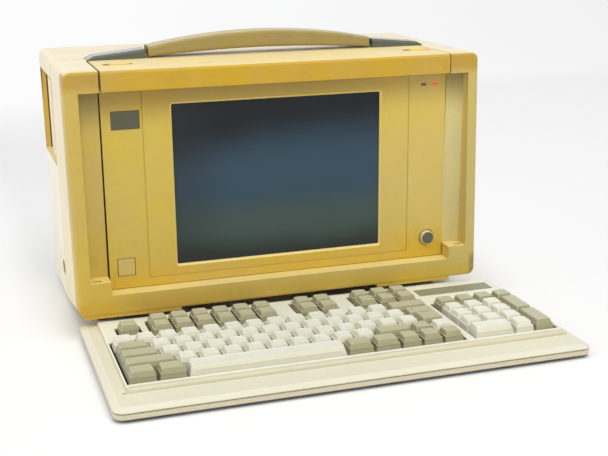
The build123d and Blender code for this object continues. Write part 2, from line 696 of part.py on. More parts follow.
def chassis_tray():
    """Folded steel: a floor on the housing's bosses and an upright behind the display bay."""
    half = TRAY_W / 2
    floor_plate = block(-half, half, *TRAY_Y, TRAY_Z, TRAY_Z + SHEET)
    upright = block(-half, half, TRAY_Y[0], TRAY_Y[0] + SHEET, TRAY_Z, BULKHEAD_TOP)
    x0, x1, z0, z1 = TRAY_WINDOW
    upright -= block(x0, x1, TRAY_Y[0] - 1, TRAY_Y[0] + 3, z0, z1)
    body = floor_plate + upright
    for x, y in board_posts():
        body += rod_z(x, y, TRAY_Z, BOARD_Z, POST_R)
    return body


def board_posts():
    """Posts that carry the main board."""
    return [(x, y) for x in POST_X for y in (BOARD[2] + 2 * POST_R, BOARD[3] - 2 * POST_R)]


def motherboard():
    """Main board with its slots and the larger chips."""
    top = BOARD_Z + BOARD_T
    x0, x1, y0, y1 = BOARD
    body = block(*BOARD, BOARD_Z, top)
    width, height = SLOT_SOCKET
    for i in range(SLOT_N):
        x = SLOT_X0 + i * SLOT_PITCH
        body += block(x - width / 2, x + width / 2, y0 + 20, y1 - 21, top - 0.5, top + height)
    for right, front, w, d, h in BOARD_CHIPS:
        body += block(x1 - right, x1 - right + w, y0 + front, y0 + front + d, top - 0.5, top + h)
    for i in range(6):
        body += block(x0 + 4 + 11 * i, x0 + 12 + 11 * i, y0 + 2, y0 + 16, top - 0.5, top + 3)
    return body


def expansion_cards():
    """Cards that stand in two of the slots, each with its steel bracket at the back."""
    foot = BOARD_Z + BOARD_T + SLOT_SOCKET[1]
    y0, y1 = BOARD[2] + 16, BOARD[3] - 13
    top = SLOT_Z[1] - 4
    cards = []
    for slot in CARD_SLOTS:
        x = SLOT_X0 + slot * SLOT_PITCH
        left, right = x - BOARD_T / 2, x + BOARD_T / 2
        card = block(left, right, y0, y1, foot, top)
        card += block(left, right, y1 - 1, REAR_IN - BACK_T - SHEET, SLOT_Z[0], top)
        card += block(x, x + 5, y0 + 18, y0 + 40, foot + 30, foot + 52)
        for lift in (30, 56):
            card += block(x, x + 4, y1 - 48, y1 - 14, foot + lift, foot + lift + 14)
        card += bracket(slot)
        cards.append(card)
    return Compound(children=cards)


def bracket(slot):
    """Steel plate that closes one expansion slot from inside the back panel."""
    x = SLOT_X0 + slot * SLOT_PITCH
    back = REAR_IN - BACK_T
    return block(x - SLOT_W / 2 - 2.5, x + SLOT_W / 2 + 2.5, back - SHEET, back, SLOT_Z[0] - 3, SLOT_Z[1] + 5)


def slot_covers():
    """Blank brackets of the empty slots."""
    return Compound(children=[bracket(i) for i in range(SLOT_N) if i not in CARD_SLOTS])


def back_panel():
    """Steel back plate behind the rear opening, with the slots, sockets and fan grille."""
    x0, x1, z0, z1 = PANEL_BACK
    back, front = REAR_IN, REAR_IN - BACK_T
    body = block(x0, x1, front, back, z0, z1)
    for i in range(SLOT_N):
        x = SLOT_X0 + i * SLOT_PITCH
        body -= block(x - SLOT_W / 2, x + SLOT_W / 2, front - 1, back + 1, *SLOT_Z)
    for x, w, h in PORTS:
        body -= block(x - w / 2, x + w / 2, front - 1, back + 1, PORT_Z - h / 2, PORT_Z + h / 2)
    body -= rod_y(SOCKET_X, front - 1, back + 1, PORT_Z, SOCKET_R + FIT)
    body -= inlet_block(FIT, front - 1, back + 1)
    body -= rocker_opening(front - 1, back + 1)
    spokes = block(FAN_X - 2, FAN_X + 2, front - 3, back + 3, FAN_Z - FAN_SIZE, FAN_Z + FAN_SIZE)
    spokes += block(FAN_X - FAN_SIZE, FAN_X + FAN_SIZE, front - 3, back + 3, FAN_Z - 2, FAN_Z + 2)
    for ring in range(4):
        r = GRILLE_R + GRILLE_STEP * ring
        slot = rod_y(FAN_X, front - 1, back + 1, FAN_Z, r + GRILLE_SLOT)
        body -= slot - rod_y(FAN_X, front - 2, back + 2, FAN_Z, r) - spokes
    return body


def port_connectors():
    """The metal-shelled sockets of the back, with their inner block."""
    ports = []
    back = REAR_IN - BACK_T
    for x, w, h in PORTS:
        flange = block(x - w / 2 - PORT_FLANGE, x + w / 2 + PORT_FLANGE, back - SHEET, back,
                       PORT_Z - h / 2 - 1, PORT_Z + h / 2 + 1)
        w, h = w / 2 - FIT, h / 2 - FIT
        lip = block(x - w, x + w, back - 8, REAR_IN + PORT_PROUD, PORT_Z - h, PORT_Z + h)
        lip = fillet(lip.edges().filter_by(Axis.Y), 2.5)
        w, h = w - PORT_SHELL, h - PORT_SHELL
        well = block(x - w, x + w, REAR_IN - 1, REAR_IN + PORT_PROUD + 1, PORT_Z - h, PORT_Z + h)
        ports.append(flange + lip - well)
    return Compound(children=ports + [keyboard_socket()])


def keyboard_socket():
    """Round socket for the keyboard's plug, with its pin holes."""
    front = REAR_IN - 12
    body = rod_y(SOCKET_X, front, REAR_IN + 0.5, PORT_Z, SOCKET_R)
    body += rod_y(SOCKET_X, front, REAR_IN - BACK_T, PORT_Z, SOCKET_R + 1.2)
    body -= rod_y(SOCKET_X, REAR_IN - 0.5, REAR_IN + 2, PORT_Z, SOCKET_R - 1)
    for k in range(5):
        turn = math.radians(180 + 45 * k)
        x, z = SOCKET_X + SOCKET_PIN_R * math.cos(turn), PORT_Z - SOCKET_PIN_R * math.sin(turn)
        body -= rod_y(x, REAR_IN - 5, REAR_IN + 1, z, 0.8)
    return body


def inlet_block(grow, y0, y1):
    """The mains inlet's outline, as a block through the back plate."""
    x0, x1, z0, z1 = INLET
    return block(x0 - grow, x1 + grow, y0, y1, z0 - grow, z1 + grow)


def power_inlet():
    """Mains inlet with three blades in its well."""
    x0, x1, z0, z1 = INLET
    body = inlet_block(0, REAR_IN - BACK_T, REAR_IN + 1.5)
    body += inlet_block(-1, SUPPLY_BACK, REAR_IN - BACK_T)
    body -= block(x0 + 2.5, x1 - 2.5, REAR_IN - 1, REAR_IN + 3, z0 + 3, z1 - 3)
    for dx, dz in INLET_BLADES:
        x, z = (x0 + x1) / 2 + dx, (z0 + z1) / 2 + dz
        body += block(x - 1, x + 1, REAR_IN - 1.5, REAR_IN + 1, z - 3, z + 3)
    return body


def rocker_opening(y0, y1):
    """The hole in the back plate that the rocker's frame fills."""
    x0, x1, z0, z1 = ROCKER
    rim = ROCKER_RIM
    return block(x0 - rim, x1 + rim, y0, y1, z0 - rim, z1 + rim)


def rocker_frame():
    """Frame of the mains switch, with a blind bearing above and below."""
    x0, x1, z0, z1 = ROCKER
    rim = ROCKER_RIM - FIT
    body = block(x0 - rim, x1 + rim, SUPPLY_BACK, REAR_IN + 1.0, z0 - rim, z1 + rim)
    body -= block(x0, x1, SUPPLY_BACK - 1, REAR_IN + 2, z0, z1)
    depth = TRUNNION_L + 0.2 - ROCKER_GAP
    return body - rod_z((x0 + x1) / 2, ROCKER_Y, z0 - depth, z1 + depth, TRUNNION_R + PIN_FIT)


def rocker_switch():
    """Rocker with a concave face; it turns on two short trunnions in its frame."""
    x0, x1, z0, z1 = ROCKER
    mid_x = (x0 + x1) / 2
    low, high = z0 + ROCKER_GAP, z1 - ROCKER_GAP
    outline = [(mid_x - 4, ROCKER_Y - TRUNNION_R), (mid_x + 4, ROCKER_Y - TRUNNION_R),
               (x1 - 1.2, ROCKER_Y + 1.2), (x1 - 1.2, REAR_IN + 1.6), (mid_x, REAR_IN + 0.4),
               (x0 + 1.2, REAR_IN + 1.6), (x0 + 1.2, ROCKER_Y + 1.2)]
    face = make_face(Polyline(*outline, close=True))
    body = extrude(Plane.XY.offset(low) * face, amount=high - low)
    return body + rod_z(mid_x, ROCKER_Y, low - TRUNNION_L, high + TRUNNION_L, TRUNNION_R)


def power_supply():
    """Closed steel box that feeds the inlet and switch, on the tray."""
    x0, x1, y0, z0, z1 = SUPPLY
    body = block(x0, x1, y0, SUPPLY_BACK, TRAY_Z + SHEET, z1)
    for i in range(6):
        body -= block(x0 + 12 + 14 * i, x0 + 20 + 14 * i, y0 + 12, y0 + 60, z1 - 1, z1 + 1)
    return body


def fan_frame():
    """Square frame of the cooling fan, with the motor seat on three arms."""
    half = FAN_SIZE / 2
    y1 = REAR_IN - BACK_T
    y0 = y1 - FAN_T
    body = block(FAN_X - half, FAN_X + half, y0, y1, FAN_Z - half, FAN_Z + half)
    body = fillet(body.edges().filter_by(Axis.Y), 4.0)
    body -= rod_y(FAN_X, y0 - 1, y1 + 1, FAN_Z, FAN_BORE_R)
    seat = rod_y(FAN_X, y1 - 4, y1 - 1, FAN_Z, FAN_HUB_R + 1)
    seat += rod_y(FAN_X, y0 + 6, y1 - 2, FAN_Z, FAN_SHAFT_R)
    for k in range(3):
        arm = Pos(FAN_X, y1 - 2.5, FAN_Z) * Rot(0, 120 * k, 0) * Pos(FAN_BORE_R / 2 + 6, 0, 0)
        seat += arm * Box(FAN_BORE_R, 3, 4)
    return body + (seat & rod_y(FAN_X, y0, y1, FAN_Z, FAN_BORE_R + 1))


def fan_rotor():
    """Hub and blades, turning on the frame's shaft."""
    y1 = REAR_IN - BACK_T
    y0 = y1 - FAN_T
    hub = rod_y(FAN_X, y0 + 2, y1 - 5, FAN_Z, FAN_HUB_R)
    hub -= rod_y(FAN_X, y0 + 5, y1, FAN_Z, FAN_SHAFT_R + PIN_FIT)
    blade_l = FAN_BLADE_R - FAN_HUB_R + 3
    for k in range(FAN_BLADES):
        place = Pos(FAN_X, (y0 + y1) / 2 - 1.5, FAN_Z) * Rot(0, 360 / FAN_BLADES * k, 0)
        hub += place * Pos(FAN_HUB_R - 3 + blade_l / 2, 0, 0) * Rot(35, 0, 0) * Box(blade_l, 15, 1.6)
    return hub


def drive_shelf():
    """Steel shelf on two legs that carries both disk drives."""
    x0, x1 = SHELF_X
    y0, y1 = FLOPPY_Y - 1, DISK_Y + DRIVE_T + 1
    body = block(x0, x1, y0, y1, SHELF_Z, DRIVE_Z)
    for a in (x0, x1 - SHEET):
        body += block(a, a + SHEET, y0, y1, TRAY_Z + SHEET, DRIVE_Z)
    return body


def floppy_drive():
    """Disk drive standing on edge; its face fills the opening in the right side."""
    front = HALF_W - DRIVE_INSET
    y0, y1 = FLOPPY_Y, FLOPPY_Y + DRIVE_T
    body = block(front - DRIVE_L, front, y0, y1, DRIVE_Z, DRIVE_Z + DRIVE_W)
    mid, slot = (y0 + y1) / 2, DISK_SLOT_T / 2
    body -= block(front - DISK_SLOT_D, front + 1, mid - slot, mid + slot, DRIVE_Z + 4, DRIVE_Z + 96)
    body -= block(front - 3, front + 1, mid - 7, mid + 7, DRIVE_Z + 38, DRIVE_Z + 64)
    return body - eject_block(FIT, front - 8, front + 1)


def eject_block(grow, x0, x1):
    """The eject button's outline, as a block through the drive's face."""
    z = DRIVE_Z + 84.0
    y = FLOPPY_Y + DRIVE_T - 5.2
    h, d = EJECT[0] / 2 + grow, EJECT[1] / 2 + grow
    return block(x0, x1, y - d, y + d, z - h, z + h)


def eject_button():
    """The drive's eject button."""
    return eject_block(0, HALF_W - DRIVE_INSET - 5, HALF_W)


def hard_drive():
    """Sealed disk on the shelf beside the removable-disk drive."""
    body = block(DISK_X, DISK_X + DRIVE_L, DISK_Y, DISK_Y + DRIVE_T, DRIVE_Z, DRIVE_Z + DRIVE_W)
    cover = body.faces().sort_by(Axis.Y)[-1]
    body = chamfer(cover.edges(), 3.0)
    return body


def speaker():
    """Small loudspeaker on the tray's upright."""
    y = TRAY_Y[0] + SHEET
    x, z, r = SPEAKER
    body = rod_y(x, y, y + 4, z, r) + rod_y(x, y + 3, y + 16, z, 12)
    return body - rod_y(x, y - 1, y + 2, z, r - 4)


# ----------------------------------------------------------- keyboard ----

def key_box(x0, y0, units_x, units_y=1):
    """Left, right, front and back of a key whose cell starts at x0, y0."""
    gap = (KEY - KEY_BASE) / 2
    return (x0 + gap, x0 + units_x * KEY - gap, y0 + gap, y0 + units_y * KEY - gap)


def row_y(row):
    """Front edge of a row, counted from the space bar's row."""
    return KEY_Y0 + row * KEY


def main_key(start, width, row, depth=1):
    """A key of the main block; start and width are in key units."""
    return key_box(KEY_X0 + start * KEY, row_y(row), width, depth)


def pad_key(start, width, row, depth=1):
    """A key of the number pad."""
    return key_box(NUMPAD_X0 + start * KEY, row_y(row), width, depth)


def grid_keys(x0, y0, columns, rows):
    """A block of single keys."""
    return [key_box(x0 + c * KEY, y0 + r * KEY, 1) for r in range(rows) for c in range(columns)]


ENTER_BODY = main_key(13.75, 1.25, 2)
ENTER_HEAD = main_key(13.5, 1.5, 3)

KEY_NODES = {
    "key_escape": [key_box(ESCAPE_X0, ESCAPE_Y0, 1)],
    "keys_function_left": grid_keys(GROUP_A_X0, FUNCTION_Y0, 6, 2),
    "keys_function_right": grid_keys(GROUP_B_X0, FUNCTION_Y0, 2, 2)
    + grid_keys(GROUP_C_X0, FUNCTION_Y0, 3, 2),
    "keys_number_row": [main_key(i, 1, 4) for i in range(13)],
    "key_backspace": [main_key(13, 2, 4)],
    "keys_upper_row": [main_key(1.5 + i, 1, 3) for i in range(12)],
    "keys_home_row": [main_key(1.75 + i, 1, 2) for i in range(12)],
    "key_enter": [],
    "keys_shift": [main_key(0, 2.25, 1), main_key(11.25, 1.75, 1)],
    "keys_lower_row": [main_key(2.25 + i, 1, 1) for i in range(9)] + [main_key(14, 1, 1)],
    "keys_control": [main_key(0, 1.5, 3), main_key(0, 1.75, 2), main_key(0, 1.25, 0), main_key(1.25, 1.25, 0),
                     main_key(9.5, 1.25, 0), main_key(10.75, 1.25, 0)],
    "key_space": [main_key(2.5, 7, 0)],
    "keys_arrow": [main_key(13, 1, 1)] + [main_key(12 + i, 1, 0) for i in range(3)],
    "keys_pad_digits": [pad_key(c, 1, r) for r in (1, 2, 3) for c in range(3)]
    + [pad_key(0, 2, 0), pad_key(2, 1, 0)],
    "keys_pad_grey": [pad_key(c, 1, 4) for c in range(4)] + [pad_key(3, 1, 2, 2), pad_key(3, 1, 0, 2)],
}


def cap_solid(box, shrink=0.0, rise=KEY_H, z0=KEY_SKIRT_Z):
    """A tapered key cap over its base box; shrink draws it in for the hollow."""
    x0, x1, y0, y1 = box
    w, d = x1 - x0 - 2 * shrink, y1 - y0 - 2 * shrink
    side = (KEY_BASE - KEY_TOP_W) / 2
    front_back = (KEY_BASE - KEY_TOP_D) / 2
    foot = Pos((x0 + x1) / 2, (y0 + y1) / 2, z0) * RectangleRounded(w, d, KEY_CORNER_R)
    share = rise / KEY_H
    head_w, head_d = w - 2 * side * share, d - 2 * front_back * share
    head_y = (y0 + y1) / 2 + KEY_TOP_BACK * share
    outline = RectangleRounded(head_w, head_d, KEY_CORNER_R * (1 + share))
    return loft([foot, Pos((x0 + x1) / 2, head_y, z0 + rise) * outline])


def key_stems(box):
    """Middles of the stems under a key: one, or two under a wide or deep key."""
    x0, x1, y0, y1 = box
    mx, my = (x0 + x1) / 2, (y0 + y1) / 2
    if x1 - x0 > 3 * KEY:
        return [(mx - 2 * KEY, my), (mx, my), (mx + 2 * KEY, my)]
    return [(mx, my)]


def key_cap(box):
    """Hollow cap with its stem reaching into the switch below."""
    inside = cap_solid(box, KEY_WALL, KEY_H - KEY_WALL, KEY_SKIRT_Z - 0.01)
    body = cap_solid(box) - inside
    for x, y in key_stems(box):
        body += stem_block(x, y)
    return body


def stem_block(x, y):
    """The stem that reaches from a cap into its switch."""
    half = STEM / 2
    return block(x - half, x + half, y - half, y + half, STEM_FOOT, KEY_SKIRT_Z + KEY_H - 1)


def enter_key():
    """The bent enter key: a wide head with the stem, and a narrow foot that meets it in a seam."""
    x0, x1, y0, y1 = ENTER_BODY
    seam_y = ENTER_HEAD[2]
    tall = (x0, x1, y0, ENTER_HEAD[3])
    body = cap_solid(tall) + cap_solid(ENTER_HEAD)
    inside = cap_solid(tall, KEY_WALL, KEY_H - KEY_WALL, KEY_SKIRT_Z - 0.01)
    inside += cap_solid(ENTER_HEAD, KEY_WALL, KEY_H - KEY_WALL, KEY_SKIRT_Z - 0.01)
    cap = body - inside
    stem = stem_block(*enter_stem())
    front = block(x0 - KEY, x1 + KEY, y0 - KEY, seam_y, 0, FAR)
    head = (cap - front) + stem
    foot = (cap & front) - stem
    return Compound(children=[head, foot])


def enter_stem():
    """Middle of the enter key's stem."""
    return (ENTER_BODY[0] + ENTER_BODY[1]) / 2, (ENTER_BODY[2] + ENTER_HEAD[3]) / 2


def all_stems():
    """Middles of all the switches."""
    stems = [stem for boxes in KEY_NODES.values() for box in boxes for stem in key_stems(box)]
    return stems + [enter_stem()]


def wells():
    """The openings of the top shell that the keys stand in."""
    floor_z = KB_RIM - KB_WALL - 1

    def well(x0, x1, y0, y1):
        return block(x0 - WELL_GAP, x1 + WELL_GAP, y0 - WELL_GAP, y1 + WELL_GAP, floor_z, KB_TOP + 1)

    cuts = [well(KEY_X0, KEY_X0 + 15 * KEY, row_y(0), row_y(5)),
            well(NUMPAD_X0, NUMPAD_X0 + 4 * KEY, row_y(0), row_y(5)),
            well(ESCAPE_X0, ESCAPE_X0 + KEY, ESCAPE_Y0, ESCAPE_Y0 + KEY)]
    for x0, n in ((GROUP_A_X0, 6), (GROUP_B_X0, 2), (GROUP_C_X0, 3)):
        cuts.append(well(x0, x0 + n * KEY, FUNCTION_Y0, FUNCTION_Y0 + 2 * KEY))
    return cuts


def keyboard_top_shell():
    """Upper shell: a low border and the raised platform round the key wells."""
    border = keyboard_plan(0, KB_SEAM, KB_RIM)
    down, inward = KB_ROUND
    top_face = border.faces().sort_by(Axis.Z)[-1]
    border = chamfer(top_face.edges(), inward, down, reference=top_face)
    platform = block(*PLATFORM_X, *PLATFORM_Y, KB_SEAM, KB_TOP)
    platform = fillet(platform.edges().group_by(Axis.Z)[-1], PLATFORM_R)
    body = border + platform
    w = KB_WALL
    body -= keyboard_plan(w, KB_SEAM - 1, KB_RIM - w)
    body -= block(PLATFORM_X[0] + w, PLATFORM_X[1] - w, PLATFORM_Y[0] + w, PLATFORM_Y[1] - w,
                  KB_SEAM - 1, KB_TOP - w)
    for cut in wells():
        body -= cut
    body -= block(*NOTCH, KB_RIM - w / 2, KB_RIM + 1)
    x0, x1, y0, y1 = LABEL
    return body - block(x0 - FIT, x1 + FIT, y0 - FIT, y1 + FIT, KB_TOP - LABEL_T, KB_TOP + 1)


def keyboard_plan(inset, z0, z1):
    """The keyboard's outline with its round corners, drawn in by inset."""
    body = block(KB_X[0] + inset, KB_X[1] - inset, KB_Y[0] + inset, KB_Y[1] - inset, z0, z1)
    return fillet(body.edges().filter_by(Axis.Z), KB_R - inset)


def keyboard_bottom_shell():
    """Lower tray, with a step in its rim that shows as a line below the upper shell."""
    body = keyboard_plan(0, KB_BOTTOM, KB_SEAM)
    body = fillet(body.edges().group_by(Axis.Z)[0], 1.2 * KB_WALL)
    body -= keyboard_plan(KB_WALL, KB_BOTTOM + KB_WALL, KB_SEAM + 1)
    rim = keyboard_plan(0, KB_SEAM - GROOVE, KB_SEAM)
    return body - (rim - keyboard_plan(GROOVE, KB_SEAM - 2 * GROOVE, KB_SEAM + 1))


def keyboard_circuit_board():
    """Circuit board on the lower tray's floor, with one switch under each key."""
    m = PCB_MARGIN
    board = block(KB_X[0] + m, KB_X[1] - m, KB_Y[0] + 2 * m, PLATFORM_Y[1] - m / 2,
                  KB_BOTTOM + KB_WALL, SWITCH_Z)
    switches = []
    hole, half = STEM / 2 + STEM_FIT, SWITCH_SIZE / 2
    for x, y in all_stems():
        switch = block(x - half, x + half, y - half, y + half, SWITCH_Z, SWITCH_Z + SWITCH_H)
        switches.append(switch - block(x - hole, x + hole, y - hole, y + hole,
                                       SWITCH_Z + SWITCH_FLOOR, SWITCH_Z + SWITCH_H + 1))
    return Compound(children=[board] + switches)


def keyboard_label_plate():
    """Bare plate above the number pad."""
    x0, x1, y0, y1 = LABEL
    return block(x0, x1, y0, y1, KB_TOP - LABEL_T, KB_TOP + LABEL_PROUD)


def keyboard_feet():
    """Four rubber strips under the keyboard."""
    feet = []
    w, d = KB_FOOT[0] / 2, KB_FOOT[1] / 2
    for x in (KB_X[0] + 30, KB_X[1] - 30):
        for y in (KB_Y[0] + 16, KB_Y[1] - 16):
            feet.append(block(x - w, x + w, y - d, y + d, 0, KB_BOTTOM))
    return Compound(children=feet)


def main():
    os.makedirs("parts", exist_ok=True)
    outer = case_block()
    inner = case_block(WALL)
    save("front_housing", front_housing(outer, inner))
    save("rear_housing", rear_housing(outer, inner))
    save("side_cover_left", side_cover())
    save("rear_panel", back_panel())
    save("case_screws", case_screws())
    save("rubber_feet", rubber_feet())
    save("handle_end_left", handle_end(-1))
    save("handle_end_right", handle_end(1))
    save("handle_grip", handle_grip())
    save("display_cap", display_cap(outer, inner))
    save("hinge_pins", hinge_pins())
    save("latch_slider_left", latch_slider(LATCH_LEFT_X))
    save("latch_slider_right", latch_slider(LATCH_RIGHT_X))
    save("display_bezel", placed(display_bezel()))
    save("display_back_shell", placed(display_back_shell()))
    save("square_button", placed(square_button()))
    save("button_collar", placed(button_collar()))
    save("round_button", placed(round_button()))
    save("badge_plate", placed(badge_plate()))
    save("indicator_dark", placed(indicator(LED_DARK_X)))
    save("indicator_red", placed(indicator(LED_RED_X)))
    save("lcd_frame", placed(lcd_frame()))
    save("lcd_glass", placed(lcd_glass()))
    save("backlight_tube", placed(backlight_tube()))
    save("inverter_board", placed(inverter_board()))
    save("chassis_tray", chassis_tray())
    save("motherboard", motherboard())
    save("expansion_cards", expansion_cards())
    save("slot_covers", slot_covers())
    save("port_connectors", port_connectors())
    save("power_inlet_and_switch_frame", Compound(children=[power_inlet(), rocker_frame()]))
    save("power_switch_rocker", rocker_switch())
    save("power_supply", power_supply())
    save("fan_frame", fan_frame())
    save("fan_rotor", fan_rotor())
    save("drive_shelf", drive_shelf())
    save("floppy_drive", floppy_drive())
    save("floppy_eject_button", eject_button())
    save("hard_drive", hard_drive())
    save("speaker", speaker())
    save("keyboard_top_shell", keyboard_top_shell())
    save("keyboard_bottom_shell", keyboard_bottom_shell())
    save("keyboard_circuit_board", keyboard_circuit_board())
    save("keyboard_label_plate", keyboard_label_plate())
    save("keyboard_feet", keyboard_feet())
    for name, boxes in KEY_NODES.items():
        caps = [key_cap(box) for box in boxes] or [enter_key()]
        save(name, caps[0] if len(caps) == 1 else Compound(children=caps))


main()
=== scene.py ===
# %% [markdown]
# # A luggable computer, dressed
# The frame below is the measured construction of the machine: every shell, key and button at its real
# size. Here it gets its finish: plastic that has yellowed where light reached it, moulded key caps with
# scooped tops, a dark screen, and a plain studio to stand in. All lengths are metres, and sizes that read
# better in millimetres are written as a number times MM.

# %% Load the frame
import json
import math

import bmesh
import bpy
from mathutils import Matrix, Vector

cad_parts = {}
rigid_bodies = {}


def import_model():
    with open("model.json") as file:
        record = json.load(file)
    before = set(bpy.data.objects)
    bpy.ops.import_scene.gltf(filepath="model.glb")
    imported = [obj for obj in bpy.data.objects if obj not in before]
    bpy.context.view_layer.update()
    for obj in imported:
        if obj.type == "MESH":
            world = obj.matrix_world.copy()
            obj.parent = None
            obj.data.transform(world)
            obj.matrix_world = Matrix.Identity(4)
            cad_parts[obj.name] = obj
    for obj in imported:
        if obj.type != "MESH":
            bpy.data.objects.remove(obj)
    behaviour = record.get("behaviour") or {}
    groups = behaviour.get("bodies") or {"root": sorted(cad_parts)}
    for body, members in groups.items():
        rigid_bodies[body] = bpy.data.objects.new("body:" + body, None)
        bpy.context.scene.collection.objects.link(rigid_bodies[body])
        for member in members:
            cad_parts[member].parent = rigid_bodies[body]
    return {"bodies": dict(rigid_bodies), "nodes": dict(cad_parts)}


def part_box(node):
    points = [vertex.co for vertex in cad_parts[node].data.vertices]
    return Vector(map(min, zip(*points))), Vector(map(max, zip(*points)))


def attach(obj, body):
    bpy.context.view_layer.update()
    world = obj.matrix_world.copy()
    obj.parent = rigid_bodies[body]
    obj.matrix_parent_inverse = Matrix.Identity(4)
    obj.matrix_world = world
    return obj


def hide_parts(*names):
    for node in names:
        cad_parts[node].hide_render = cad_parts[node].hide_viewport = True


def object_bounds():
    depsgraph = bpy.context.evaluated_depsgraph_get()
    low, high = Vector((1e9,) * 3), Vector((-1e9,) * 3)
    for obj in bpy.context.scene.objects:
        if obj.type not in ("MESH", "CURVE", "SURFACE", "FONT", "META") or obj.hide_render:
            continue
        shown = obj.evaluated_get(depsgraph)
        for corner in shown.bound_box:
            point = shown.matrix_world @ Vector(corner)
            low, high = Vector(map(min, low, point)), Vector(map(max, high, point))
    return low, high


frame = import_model()
cad_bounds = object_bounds()
nodes = frame["nodes"]
MM = 0.001
print("nodes", len(nodes))

# %% [markdown]
# ## Where things are
# A colour that changes over a shell has to know where the shell is. The places could be typed in, but a
# changed size would then leave the colours behind. So they are read from the frame: the corners of the
# front housing and of the screen, and the front edge of the keyboard.

# %% Places read from the frame
CASE_LOW, CASE_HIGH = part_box("front_housing")
SCREEN_LOW, SCREEN_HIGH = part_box("lcd_glass")
KEYBOARD_FRONT_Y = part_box("keyboard_top_shell")[0].y
CASE_MIDDLE_X = (CASE_LOW.x + CASE_HIGH.x) / 2
print("case is", round((CASE_HIGH.x - CASE_LOW.x) / MM, 1), "mm wide")

# %% [markdown]
# ## Colours
# Paint charts and photographs give colours as screen values from 0 to 255. The shaders want linear light,
# so one helper turns the first into the second.


# %% Colour helper
def tint(red, green, blue):
    """A screen colour, 0 to 255 each, as linear light with full alpha."""
    def linear(value):
        share = value / 255
        return share / 12.92 if share <= 0.04045 else ((share + 0.055) / 1.055) ** 2.4
    return (linear(red), linear(green), linear(blue), 1.0)


print("middle grey is", round(tint(128, 128, 128)[0], 3), "as linear light")

# %% [markdown]
# ## Shader maths as plain expressions
# A material is a net of nodes. Written out node by node it is unreadable, so one small class stands for a
# number that varies over the surface, and Python's own operators add the Math nodes.


# %% A number that varies over the surface
class Varying:
    """A number that changes over the surface; arithmetic on it adds Math nodes."""

    def __init__(self, net, socket):
        self.net = net
        self.socket = socket

    def maths(self, operation, *values):
        return self.net.node("ShaderNodeMath", {"operation": operation}, dict(enumerate(values)))

    def __add__(self, other):
        return self.maths("ADD", self, other)

    def __radd__(self, other):
        return self.maths("ADD", other, self)

    def __sub__(self, other):
        return self.maths("SUBTRACT", self, other)

    def __rsub__(self, other):
        return self.maths("SUBTRACT", other, self)

    def __mul__(self, other):
        return self.maths("MULTIPLY", self, other)

    def __rmul__(self, other):
        return self.maths("MULTIPLY", other, self)

    def __truediv__(self, other):
        return self.maths("DIVIDE", self, other)

    def at_least(self, other):
        return self.maths("MAXIMUM", self, other)

    def size(self):
        return self.maths("ABSOLUTE", self)

    def ramp(self, low, high):
        """0 below low, 1 above high and a smooth rise between them."""
        settings = {"interpolation_type": "SMOOTHSTEP", "clamp": True}
        return self.net.node("ShaderNodeMapRange", settings, {"Value": self, 1: low, 2: high})

    def near(self, middle, half, soft):
        """1 within half of a middle value, fading to 0 over soft."""
        return 1 - (self - middle).size().ramp(half, half + soft)


# %% [markdown]
# All other nodes come from one method, so that a material, the floor and the sky are built in one way. It
# takes the node's type, then its settings, then what goes into its sockets, each a constant or a link.


# %% The net of nodes
class Net:
    """The nodes of one material or of the sky."""

    def __init__(self, holder):
        holder.use_nodes = True
        self.tree = holder.node_tree
        self.tree.nodes.clear()

    def node(self, kind, settings=None, sockets=None, result=0):
        """Add any node: its settings first, then the values or links of its sockets."""
        made = self.tree.nodes.new(kind)
        for key, value in (settings or {}).items():
            setattr(made, key, value)
        for key, value in (sockets or {}).items():
            self.feed(made.inputs[key], value)
        return Varying(self, made.outputs[result]) if made.outputs else made

    def feed(self, socket, value):
        """Give a socket a constant or a link."""
        if isinstance(value, Varying):
            self.tree.links.new(value.socket, socket)
        else:
            socket.default_value = value

    def mix(self, share, first, second):
        """A colour between two colours; share 0 is the first."""
        settings = {"data_type": "RGBA", "blend_type": "MIX"}
        return self.node("ShaderNodeMix", settings, {0: share, 6: first, 7: second}, result=2)

    def place(self):
        """The point on the object, in metres."""
        return self.node("ShaderNodeTexCoord", result="Object")

    def facing(self):
        """The way the surface faces, in the object's own axes."""
        return self.node("ShaderNodeTexCoord", result="Normal")

    def split(self, vector, parts="XYZ"):
        """The chosen parts of a vector: X grows to the right, Y backwards and Z upwards."""
        outputs = self.node("ShaderNodeSeparateXYZ", None, {0: vector}).socket.node.outputs
        return [Varying(self, outputs[part]) for part in parts]

    def noise(self, scale, detail=3.0, roughness=0.5, vector=None):
        """Soft noise with about scale lumps to the metre."""
        sockets = {"Vector": vector or self.place(), "Scale": scale, "Detail": detail,
                   "Roughness": roughness}
        return self.node("ShaderNodeTexNoise", {"noise_dimensions": "3D"}, sockets)

    def bump(self, height, depth):
        """A bump of depth metres that feeds the normal."""
        return self.node("ShaderNodeBump", None, {"Height": height, "Distance": depth, "Strength": 1.0})


# %% [markdown]
# ## What age does to plastic
# Old plastic is never one flat colour. It has cloudy patches where it yellowed unevenly, small specks, a
# thin film of dirt and skin oil, and smoother spots where hands polished it. A painted picture could show
# that too, but noise worked out at each point needs no picture and has no seams. The fine grain left by
# the mould is a bump of a few hundredths of a millimetre.

# %% The finish and its weathering
PATCHES, SPECKS, WEAR, FILM, GRAIN = 14.0, 260.0, 60.0, 38.0, 2600.0  # lumps to the metre
SPECK_SHARE = 0.35
PATCH_YELLOWING = 1.6
POLISH = 0.08
FILM_COLOUR = tint(128, 108, 66)


